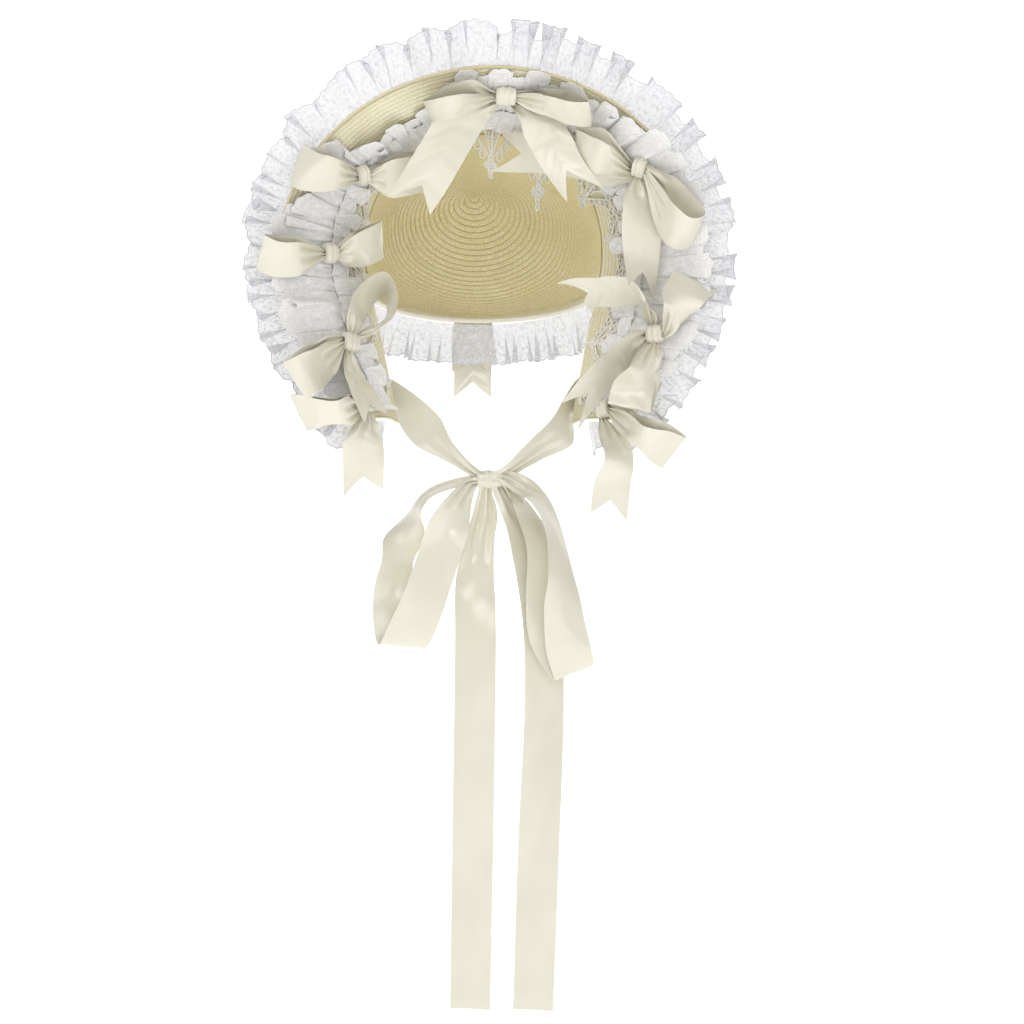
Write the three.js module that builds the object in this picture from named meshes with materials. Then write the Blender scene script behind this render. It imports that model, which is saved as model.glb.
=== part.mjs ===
import * as THREE from "three";

// A straw poke bonnet with a gathered lace trim, satin bows and long satin chin ribbons.
// Millimetres. X runs to the right of the face opening, Y away from it and Z up.

// Driving dimensions
const STRAW = 2;
const LACE = 1;
const SATIN = 1;
const PLAY = 0.35;
const BRIM_FLARE = 7;
const SEAM_SHARE = 0.5;
const LAST_STATION = 8;
const CORNER_STATION = 5.5;

// The seat of the head inside the crown's top is the frame's origin.
const HEAD_SEAT = new THREE.Vector3(0, 80, 92);

// Brim stations, from the middle of the top down to the end of a cheek; the other side mirrors them.
// jx jy jz: the seam with the crown, then the cheek's free rear edge. ex ey ez: the front edge.
const BRIM_STATIONS = [
  { jx: 0, jy: 58, jz: 95, ex: 0, ey: -40, ez: 127 },
  { jx: 31, jy: 59, jz: 91, ex: 48, ey: -37, ez: 120 },
  { jx: 58, jy: 62, jz: 77, ex: 92, ey: -28, ez: 101 },
  { jx: 79, jy: 65, jz: 54, ex: 127, ey: -17, ez: 71 },
  { jx: 90, jy: 68, jz: 25, ex: 149, ey: -6, ez: 34 },
  { jx: 91, jy: 70, jz: -7, ex: 155, ey: 1, ez: -7 },
  { jx: 83, jy: 70, jz: -43, ex: 148, ey: 6, ez: -48 },
  { jx: 74, jy: 66, jz: -85, ex: 128, ey: 11, ez: -89 },
  { jx: 66, jy: 60, jz: -126, ex: 100, ey: 17, ez: -126 },
];

// How far off the straw the middle of a knot sits
const KNOT_HEIGHT = 7.6;

// Crown
const CROWN_TIP = new THREE.Vector3(0, 165, 60);
const CROWN_SQUARENESS = 2.4;
const CROWN_OVAL = { y: 94, z: 24, wide: 88, tall: 66, slope: 34 };
const NAPE_DEPTH = 60;
const NAPE_DROP = 18;
const CROWN_ARCH_SECTORS = 24;
const CROWN_NAPE_SECTORS = 12;
const CROWN_RINGS = 7;

// Frills of gathered lace: how often they wave and how far their free edge goes
const EDGE_FRILL = { waves: 32, reachTop: 30, reachSides: 25, swing: 6 };
const OUTWARD_FRILL = { waves: 26, toShare: 0.93, lift: 5.5, swing: 3.5 };
const INWARD_FRILL = { waves: 24, toShareTop: 0.19, toShareSides: 0.11, lift: 7.5, swing: 3.5 };
const GUIPURE_HEIGHT = 1.35;

// Where a bow presses the inner frills flat: the station under its knot, how far the press reaches
// and how much
const PRESSED = [
  { at: -7.5, reach: 0.8, press: 0.75 },
  { at: -6.6, reach: 0.9, press: 0.75 },
  { at: -4.9, reach: 1, press: 0.75 },
  { at: -3.3, reach: 1.1, press: 0.75 },
  { at: 0, reach: 2.3, press: 0.95 },
  { at: 3.3, reach: 1.2, press: 0.75 },
  { at: 6.4, reach: 1.1, press: 0.75 },
  { at: 7.6, reach: 0.8, press: 0.75 },
];
const NAPE_FRILL = { waves: 13, reach: 30, swing: 5 };

function material(colour, roughness) {
  return new THREE.MeshStandardMaterial({ color: colour, roughness, metalness: 0 });
}

const STRAW_FINISH = () => material(0xe6d79a, 0.7);
const SATIN_FINISH = () => material(0xebe8d4, 0.35);
const LACE_FINISH = () => material(0xf2f1f0, 0.85);
const GUIPURE_FINISH = () => material(0xf5f0e2, 0.8);

// Curves through table rows
function stationRow(index) {
  if (index < 0) {
    const row = BRIM_STATIONS[-index];
    return { ...row, jx: -row.jx, ex: -row.ex };
  }
  if (index > LAST_STATION) {
    const last = BRIM_STATIONS[LAST_STATION];
    const before = BRIM_STATIONS[LAST_STATION - 1];
    const row = {};
    for (const key of Object.keys(last)) row[key] = 2 * last[key] - before[key];
    return row;
  }
  return BRIM_STATIONS[index];
}

function catmull(p0, p1, p2, p3, t) {
  const a = 2 * p1;
  const b = p2 - p0;
  const c = 2 * p0 - 5 * p1 + 4 * p2 - p3;
  const d = 3 * p1 - p0 - 3 * p2 + p3;
  return 0.5 * (a + b * t + c * t * t + d * t * t * t);
}

function stationValue(key, at) {
  const size = Math.min(Math.abs(at), LAST_STATION);
  const low = Math.min(Math.floor(size), LAST_STATION - 1);
  const rows = [low - 1, low, low + 1, low + 2].map(stationRow);
  return catmull(...rows.map((row) => row[key]), size - low);
}

function seamPoint(at) {
  const side = at < 0 ? -1 : 1;
  return new THREE.Vector3(side * stationValue("jx", at), stationValue("jy", at), stationValue("jz", at));
}

function edgePoint(at) {
  const side = at < 0 ? -1 : 1;
  return new THREE.Vector3(side * stationValue("ex", at), stationValue("ey", at), stationValue("ez", at));
}

// The brim's face side at a station, a share of the way from the seam to the edge; it flares like a trumpet.
function brimFace(at, share) {
  const seam = seamPoint(at);
  const edge = edgePoint(at);
  const along = edgePoint(at + 0.02).sub(edgePoint(at - 0.02));
  const across = edge.clone().sub(seam);
  const inward = along.cross(across).normalize();
  if (inward.y > 0) inward.negate();
  const point = seam.lerp(edge, share);
  return point.addScaledVector(inward, BRIM_FLARE * Math.sin(Math.PI * share));
}

function brimNormal(at, share) {
  const inside = Math.max(-LAST_STATION + 0.02, Math.min(LAST_STATION - 0.02, at));
  const along = brimFace(inside + 0.02, share).sub(brimFace(inside - 0.02, share));
  const across = brimFace(inside, share + 0.02).sub(brimFace(inside, share - 0.02));
  const normal = along.cross(across).normalize();
  if (normal.y > 0) normal.negate();
  return normal;
}

function onBrim(at, share, height) {
  return brimFace(at, share).addScaledVector(brimNormal(at, share), height);
}

// Outward in the plane of the face opening, square to the brim's edge
function edgeOutward(at) {
  const inside = Math.max(-LAST_STATION + 0.02, Math.min(LAST_STATION - 0.02, at));
  const along = edgePoint(inside + 0.02).sub(edgePoint(inside - 0.02));
  return new THREE.Vector3(-along.z, 0, along.x).normalize();
}

// Solids
function solidFrom(positions, triangles) {
  const geometry = new THREE.BufferGeometry();
  const numbers = positions.flatMap((p) => [p.x, p.y, p.z]);
  geometry.setAttribute("position", new THREE.Float32BufferAttribute(numbers, 3));
  geometry.setIndex(triangles.flat());
  geometry.computeVertexNormals();
  return geometry;
}

function splitQuad(a, b, c, d, mirrored) {
  return mirrored ? [[a, b, d], [b, c, d]] : [[a, b, c], [a, c, d]];
}

function signedVolume(positions, triangles) {
  let sum = 0;
  for (const [a, b, c] of triangles) {
    sum += positions[a].dot(positions[b].clone().cross(positions[c]));
  }
  return sum / 6;
}

function closedSolid(positions, triangles) {
  const facing = signedVolume(positions, triangles) > 0 ? triangles : triangles.map(([a, b, c]) => [a, c, b]);
  return solidFrom(positions, facing);
}

// A sheet of even thickness laid along a grid of middle points
function sheetSolid(grid, thickness) {
  const rows = grid.length;
  const columns = grid[0].length;
  const at = (i, j) => grid[Math.max(0, Math.min(rows - 1, i))][Math.max(0, Math.min(columns - 1, j))];
  const positions = [];
  for (const side of [1, -1]) {
    for (let i = 0; i < rows; i++) {
      for (let j = 0; j < columns; j++) {
        const along = at(i + 1, j).clone().sub(at(i - 1, j));
        const across = at(i, j + 1).clone().sub(at(i, j - 1));
        const normal = along.cross(across).normalize();
        positions.push(grid[i][j].clone().addScaledVector(normal, (side * thickness) / 2));
      }
    }
  }
  const id = (i, j, side) => side * rows * columns + i * columns + j;
  const triangles = [];
  const quad = (a, b, c, d) => triangles.push([a, b, c], [a, c, d]);
  for (let i = 0; i < rows - 1; i++) {
    for (let j = 0; j < columns - 1; j++) {
      quad(id(i, j, 0), id(i + 1, j, 0), id(i + 1, j + 1, 0), id(i, j + 1, 0));
      quad(id(i, j, 1), id(i, j + 1, 1), id(i + 1, j + 1, 1), id(i + 1, j, 1));
    }
    quad(id(i, 0, 0), id(i, 0, 1), id(i + 1, 0, 1), id(i + 1, 0, 0));
    const last = columns - 1;
    quad(id(i, last, 0), id(i + 1, last, 0), id(i + 1, last, 1), id(i, last, 1));
  }
  for (let j = 0; j < columns - 1; j++) {
    quad(id(0, j, 0), id(0, j + 1, 0), id(0, j + 1, 1), id(0, j, 1));
    const end = rows - 1;
    quad(id(end, j, 0), id(end, j, 1), id(end, j + 1, 1), id(end, j + 1, 0));
  }
  return closedSolid(positions, triangles);
}

function gridOf(rowCount, columnCount, pointAt) {
  const grid = [];
  for (let i = 0; i <= rowCount; i++) {
    const row = [];
    for (let j = 0; j <= columnCount; j++) row.push(pointAt(i / rowCount, j / columnCount));
    grid.push(row);
  }
  return grid;
}

// Straw brim
const BRIM_ALONG = 44;
const BRIM_ACROSS = 4;
function brimSolid() {
  const pointAt = (u, v) => {
    const at = (2 * u - 1) * LAST_STATION;
    return onBrim(at, v, -STRAW / 2);
  };
  return sheetSolid(gridOf(BRIM_ALONG, BRIM_ACROSS, pointAt), STRAW);
}

// Straw crown: a dome from the seam's arch and the nape's curve to the tip
const CORNER = seamPoint(CORNER_STATION);

function napePoint(turn) {
  const back = Math.sin(turn);
  const x = CORNER.x * Math.cos(turn);
  return new THREE.Vector3(x, CORNER.y + NAPE_DEPTH * back ** 0.85, CORNER.z - NAPE_DROP * back);
}

function crownRim(sector) {
  if (sector <= CROWN_ARCH_SECTORS) {
    const at = (2 * (sector / CROWN_ARCH_SECTORS) - 1) * CORNER_STATION;
    return seamPoint(at).add(new THREE.Vector3(0, 2 * PLAY, 0));
  }
  const turn = (Math.PI * (sector - CROWN_ARCH_SECTORS)) / CROWN_NAPE_SECTORS;
  return napePoint(turn);
}

// share 0 is the tip and 1 the rim. Near the tip the rows are ovals, and they reach the rim's own shape
// gradually.
function crownPoint(rim, share) {
  const around = Math.atan2(rim.z - CROWN_OVAL.z, rim.x);
  const oval = {
    x: CROWN_OVAL.wide * Math.cos(around),
    y: CROWN_OVAL.y - CROWN_OVAL.slope * Math.sin(around),
    z: CROWN_OVAL.z + CROWN_OVAL.tall * Math.sin(around),
  };
  const own = share ** 3;
  const target = {};
  for (const key of ["x", "y", "z"]) target[key] = oval[key] + (rim[key] - oval[key]) * own;
  const turn = (share * Math.PI) / 2;
  const wide = Math.sin(turn) ** (2 / CROWN_SQUARENESS);
  const deep = 1 - Math.cos(turn) ** (2 / CROWN_SQUARENESS);
  const x = CROWN_TIP.x + (target.x - CROWN_TIP.x) * wide;
  const y = CROWN_TIP.y + (target.y - CROWN_TIP.y) * deep;
  const z = CROWN_TIP.z + (target.z - CROWN_TIP.z) * wide;
  return new THREE.Vector3(x, y, z);
}

const CROWN_SECTORS = CROWN_ARCH_SECTORS + CROWN_NAPE_SECTORS;

function crownMiddle(sector, ring) {
  const wrapped = (sector + CROWN_SECTORS) % CROWN_SECTORS;
  return crownPoint(crownRim(wrapped), ring / CROWN_RINGS);
}

function crownNormal(sector, ring) {
  const round = crownMiddle(sector + 1, ring).sub(crownMiddle(sector - 1, ring));
  const inner = ring > 0 ? crownMiddle(sector, ring - 1) : CROWN_TIP;
  const outer = crownMiddle(sector, Math.min(CROWN_RINGS, ring + 1));
  const normal = round.cross(outer.sub(inner)).normalize();
  const fromInside = crownMiddle(sector, ring).sub(new THREE.Vector3(0, 60, 30));
  if (normal.dot(fromInside) < 0) normal.negate();
  return normal;
}

function crownSolid() {
  const positions = [];
  for (const side of [1, -1]) {
    positions.push(CROWN_TIP.clone().add(new THREE.Vector3(0, (side * STRAW) / 2, 0)));
    for (let ring = 1; ring <= CROWN_RINGS; ring++) {
      for (let sector = 0; sector < CROWN_SECTORS; sector++) {
        const normal = crownNormal(sector, ring);
        positions.push(crownMiddle(sector, ring).addScaledVector(normal, (side * STRAW) / 2));
      }
    }
  }
  const half = 1 + CROWN_RINGS * CROWN_SECTORS;
  const id = (ring, sector, side) => side * half + 1 + (ring - 1) * CROWN_SECTORS + (sector % CROWN_SECTORS);
  const triangles = [];
  for (let sector = 0; sector < CROWN_SECTORS; sector++) {
    const mirrored = sector >= CROWN_ARCH_SECTORS + CROWN_NAPE_SECTORS / 2;
    const quad = (a, b, c, d) => triangles.push(...splitQuad(a, b, c, d, mirrored));
    triangles.push([0, id(1, sector, 0), id(1, sector + 1, 0)]);
    triangles.push([half, id(1, sector + 1, 1), id(1, sector, 1)]);
    for (let ring = 1; ring < CROWN_RINGS; ring++) {
      const next = ring + 1;
      quad(id(ring, sector, 0), id(next, sector, 0), id(next, sector + 1, 0), id(ring, sector + 1, 0));
      quad(id(ring, sector, 1), id(ring, sector + 1, 1), id(next, sector + 1, 1), id(next, sector, 1));
    }
    const rim = CROWN_RINGS;
    quad(id(rim, sector, 0), id(rim, sector, 1), id(rim, sector + 1, 1), id(rim, sector + 1, 0));
  }
  return closedSolid(positions, triangles);
}

// A point of the crown's nape wall: millimetres up from its edge and out of its middle
function napeWall(share, up, out) {
  const place = CROWN_ARCH_SECTORS + share * CROWN_NAPE_SECTORS;
  const low = Math.min(Math.floor(place), CROWN_SECTORS - 1);
  const ends = [low, low + 1].map((sector) => {
    const edge = crownMiddle(sector, CROWN_RINGS);
    const above = crownMiddle(sector, CROWN_RINGS - 1);
    const rise = up / above.distanceTo(edge);
    const normal = crownNormal(sector, CROWN_RINGS).lerp(crownNormal(sector, CROWN_RINGS - 1), rise);
    return edge.lerp(above, rise).addScaledVector(normal, out);
  });
  return ends[0].lerp(ends[1], place - low);
}

// Satin binding folded round the crown's nape edge
const BINDING_DEPTH = 8;
const BINDING_SECTIONS = CROWN_NAPE_SECTORS;
const BINDING_ENDS = 0.02;
function bindingSolid() {
  const inner = STRAW / 2 + 0.9;
  const outer = inner + SATIN;
  const section = [
    { up: BINDING_DEPTH, side: outer },
    { up: -PLAY - SATIN, side: outer },
    { up: -PLAY - SATIN, side: -outer },
    { up: BINDING_DEPTH, side: -outer },
    { up: BINDING_DEPTH, side: -inner },
    { up: -PLAY, side: -inner },
    { up: -PLAY, side: inner },
    { up: BINDING_DEPTH, side: inner },
  ];
  const positions = [];
  for (let i = 0; i <= BINDING_SECTIONS; i++) {
    const inside = Math.max(BINDING_ENDS, Math.min(1 - BINDING_ENDS, i / BINDING_SECTIONS));
    for (const { up, side } of section) positions.push(napeWall(inside, up, side));
  }
  const size = section.length;
  const triangles = [];
  for (let i = 0; i < BINDING_SECTIONS; i++) {
    for (let k = 0; k < size; k++) {
      const next = (k + 1) % size;
      const [a, b, c, d] = [i * size + k, i * size + next, (i + 1) * size + next, (i + 1) * size + k];
      triangles.push(...splitQuad(a, b, c, d, i >= BINDING_SECTIONS / 2));
    }
  }
  const cap = [[0, 7, 1], [1, 7, 6], [1, 6, 2], [2, 6, 5], [2, 5, 3], [3, 5, 4]];
  const end = BINDING_SECTIONS * size;
  for (const [a, b, c] of cap) {
    triangles.push([a, b, c], [end + a, end + c, end + b]);
  }
  return closedSolid(positions, triangles);
}

// Lace frills: each waves along its seam, more and more towards its free edge.
function wave(at, count) {
  return Math.sin(2 * Math.PI * count * at);
}

function fullness(at) {
  let most = 0;
  for (const row of PRESSED) most = Math.max(most, row.press * (1 - ((at - row.at) / row.reach) ** 4));
  return 1 - most;
}

const SAMPLES_PER_WAVE = 4;
function frillSolid(waves, rows, pointAt) {
  return sheetSolid(gridOf(waves * SAMPLES_PER_WAVE, rows, pointAt), LACE);
}

// Sewn behind the brim's edge, round the cheeks' ends too, standing out beyond the straw
const EDGE_FRILL_END = 8.8;
function edgeFrillBase(at) {
  const side = at < 0 ? -1 : 1;
  const past = Math.max(0, Math.abs(at) - LAST_STATION);
  const station = side * Math.min(Math.abs(at), LAST_STATION);
  const base = onBrim(station, 1 - 0.8 * past, -STRAW - PLAY - 1.2);
  base.z -= 3 * Math.min(1, 4 * past);
  const outward = edgeOutward(station);
  const down = new THREE.Vector3(0, 0, -1);
  outward.lerp(down, Math.min(1, past * 1.4));
  outward.y -= 0.5;
  return { base, outward: outward.normalize(), behind: brimNormal(station, 0.97).negate() };
}

function edgeFrillSolid() {
  const pointAt = (u, v) => {
    const at = (2 * u - 1) * EDGE_FRILL_END;
    const { base, outward, behind } = edgeFrillBase(at);
    const swing = EDGE_FRILL.swing * v * wave(u, EDGE_FRILL.waves);
    const aside = Math.min(1, Math.abs(at) / 4);
    const reach = THREE.MathUtils.lerp(EDGE_FRILL.reachTop, EDGE_FRILL.reachSides, aside);
    const point = base.addScaledVector(outward, reach * v - 2 * (1 - v));
    return point.addScaledVector(behind, swing + 1.5 * v);
  };
  return frillSolid(EDGE_FRILL.waves, 2, pointAt);
}

// The two frills inside the brim are sewn down along one seam.
const INNER_FRILL_END = 7.9;
function outwardFrillSolid() {
  const pointAt = (u, v) => {
    const at = (2 * u - 1) * INNER_FRILL_END;
    const from = SEAM_SHARE + PLAY / 90;
    const share = from + (OUTWARD_FRILL.toShare - from) * v;
    const rise = v ** 1.3 * fullness(at);
    const swing = OUTWARD_FRILL.swing * wave(u, OUTWARD_FRILL.waves);
    return onBrim(at, share, PLAY + LACE / 2 + 0.3 + rise * (OUTWARD_FRILL.lift + swing));
  };
  return frillSolid(OUTWARD_FRILL.waves, 2, pointAt);
}

function inwardFrillSolid() {
  const pointAt = (u, v) => {
    const at = (2 * u - 1) * INNER_FRILL_END;
    const from = SEAM_SHARE - 0.01;
    const aside = Math.min(1, Math.abs(at) / 3);
    const to = THREE.MathUtils.lerp(INWARD_FRILL.toShareTop, INWARD_FRILL.toShareSides, aside);
    const share = from + (to - from) * v;
    const rise = v ** 1.3 * fullness(at);
    const swing = INWARD_FRILL.swing * wave(u, INWARD_FRILL.waves);
    return onBrim(at, share, GUIPURE_HEIGHT + LACE + PLAY + 1.9 * v + rise * (INWARD_FRILL.lift + swing));
  };
  return frillSolid(INWARD_FRILL.waves, 2, pointAt);
}

function napeFrillSolid() {
  const ends = 0.06;
  const clear = STRAW / 2 + 1.3 + SATIN + LACE / 2;
  const pointAt = (u, v) => {
    const share = ends + (1 - 2 * ends) * u;
    const point = napeWall(share, 4 * (1 - v), clear);
    const outward = napeWall(share, 0, 1).sub(napeWall(share, 0, 0)).setZ(0).normalize();
    point.z -= NAPE_FRILL.reach * v;
    return point.addScaledVector(outward, v * (5 + NAPE_FRILL.swing * (1 + wave(u, NAPE_FRILL.waves))));
  };
  return frillSolid(NAPE_FRILL.waves, 2, pointAt);
}

// Corded guipure lace inside the brim, pierced, with pointed scallops along its free edge.
// Each row: from and to are shares of the brim's width; drop is how far the lace hangs free below that.
const GUIPURE_ROWS = [
  { at: -7.8, from: 0.46, to: 0.1, drop: 0 },
  { at: -4.5, from: 0.46, to: 0.06, drop: 0 },
  { at: -2.6, from: 0.44, to: 0.02, drop: 6 },
  { at: 0, from: 0.34, to: 0.0, drop: 22 },
  { at: 1.2, from: 0.34, to: 0.0, drop: 36 },
  { at: 2.6, from: 0.4, to: 0.0, drop: 12 },
  { at: 4.5, from: 0.46, to: 0.12, drop: 0 },
  { at: 7.8, from: 0.46, to: 0.12, drop: 0 },
];
const GUIPURE_CELLS = 30;
const GUIPURE_SCALLOP = 5;
const GUIPURE_BAR = 0.22;

function guipureValue(key, at) {
  let low = 0;
  while (low < GUIPURE_ROWS.length - 2 && GUIPURE_ROWS[low + 1].at < at) low++;
  const [first, second] = [GUIPURE_ROWS[low], GUIPURE_ROWS[low + 1]];
  const share = THREE.MathUtils.smoothstep(at, first.at, second.at);
  return first[key] + (second[key] - first[key]) * share;
}

function guipurePoint(u, v) {
  const at = (2 * u - 1) * 7.8;
  const from = guipureValue("from", at);
  const to = guipureValue("to", at);
  const height = GUIPURE_HEIGHT;
  if (v <= 0.5) return onBrim(at, from + (to - from) * v * 1.2, height);
  const drop = guipureValue("drop", at);
  const rest = (v - 0.5) * 2;
  const share = from + (to - from) * (0.6 + 0.4 * rest);
  const scallop = Math.round(u * GUIPURE_CELLS) % 2 === 0 ? GUIPURE_SCALLOP : 0;
  if (drop < 3) return onBrim(at, share - (rest * scallop) / 95, height);
  const hanging = onBrim(at, share, height + 2 * rest * Math.min(1, drop / 10));
  hanging.z -= rest * (drop + scallop);
  return hanging;
}

// A sheet whose last row of cells is cut through, each opening leaving bars round it
function piercedSolid(grid, thickness) {
  const rows = grid.length;
  const columns = grid[0].length;
  const at = (i, j) => grid[Math.max(0, Math.min(rows - 1, i))][Math.max(0, Math.min(columns - 1, j))];
  const face = (i, j, side) => {
    const along = at(i + 1, j).clone().sub(at(i - 1, j));
    const across = at(i, j + 1).clone().sub(at(i, j - 1));
    return at(i, j).clone().addScaledVector(along.cross(across).normalize(), (side * thickness) / 2);
  };
  const positions = [];
  const id = (i, j, side) => (side * rows + i) * columns + j;
  for (const side of [1, -1]) {
    for (let i = 0; i < rows; i++) {
      for (let j = 0; j < columns; j++) positions.push(face(i, j, side));
    }
  }
  const triangles = [];
  const quad = (a, b, c, d) => triangles.push([a, b, c], [a, c, d]);
  for (let i = 0; i < rows - 1; i++) {
    for (let j = 0; j < columns - 1; j++) {
      const front = [id(i, j, 0), id(i + 1, j, 0), id(i + 1, j + 1, 0), id(i, j + 1, 0)];
      const back = [id(i, j, 1), id(i + 1, j, 1), id(i + 1, j + 1, 1), id(i, j + 1, 1)];
      if (j < columns - 2) {
        quad(...front);
        quad(...back.slice().reverse());
        continue;
      }
      const holes = [front, back].map((corners) => {
        const middle = new THREE.Vector3();
        for (const corner of corners) middle.addScaledVector(positions[corner], 0.25);
        return corners.map((corner) => {
          positions.push(positions[corner].clone().lerp(middle, 2 * GUIPURE_BAR));
          return positions.length - 1;
        });
      });
      for (let k = 0; k < 4; k++) {
        const next = (k + 1) % 4;
        quad(front[k], front[next], holes[0][next], holes[0][k]);
        quad(back[next], back[k], holes[1][k], holes[1][next]);
        quad(holes[0][k], holes[0][next], holes[1][next], holes[1][k]);
      }
    }
    quad(id(i, 0, 0), id(i, 0, 1), id(i + 1, 0, 1), id(i + 1, 0, 0));
    const last = columns - 1;
    quad(id(i, last, 0), id(i + 1, last, 0), id(i + 1, last, 1), id(i, last, 1));
  }
  for (let j = 0; j < columns - 1; j++) {
    quad(id(0, j, 0), id(0, j + 1, 0), id(0, j + 1, 1), id(0, j, 1));
    const end = rows - 1;
    quad(id(end, j, 0), id(end, j, 1), id(end, j + 1, 1), id(end, j + 1, 0));
  }
  return closedSolid(positions, triangles);
}

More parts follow.
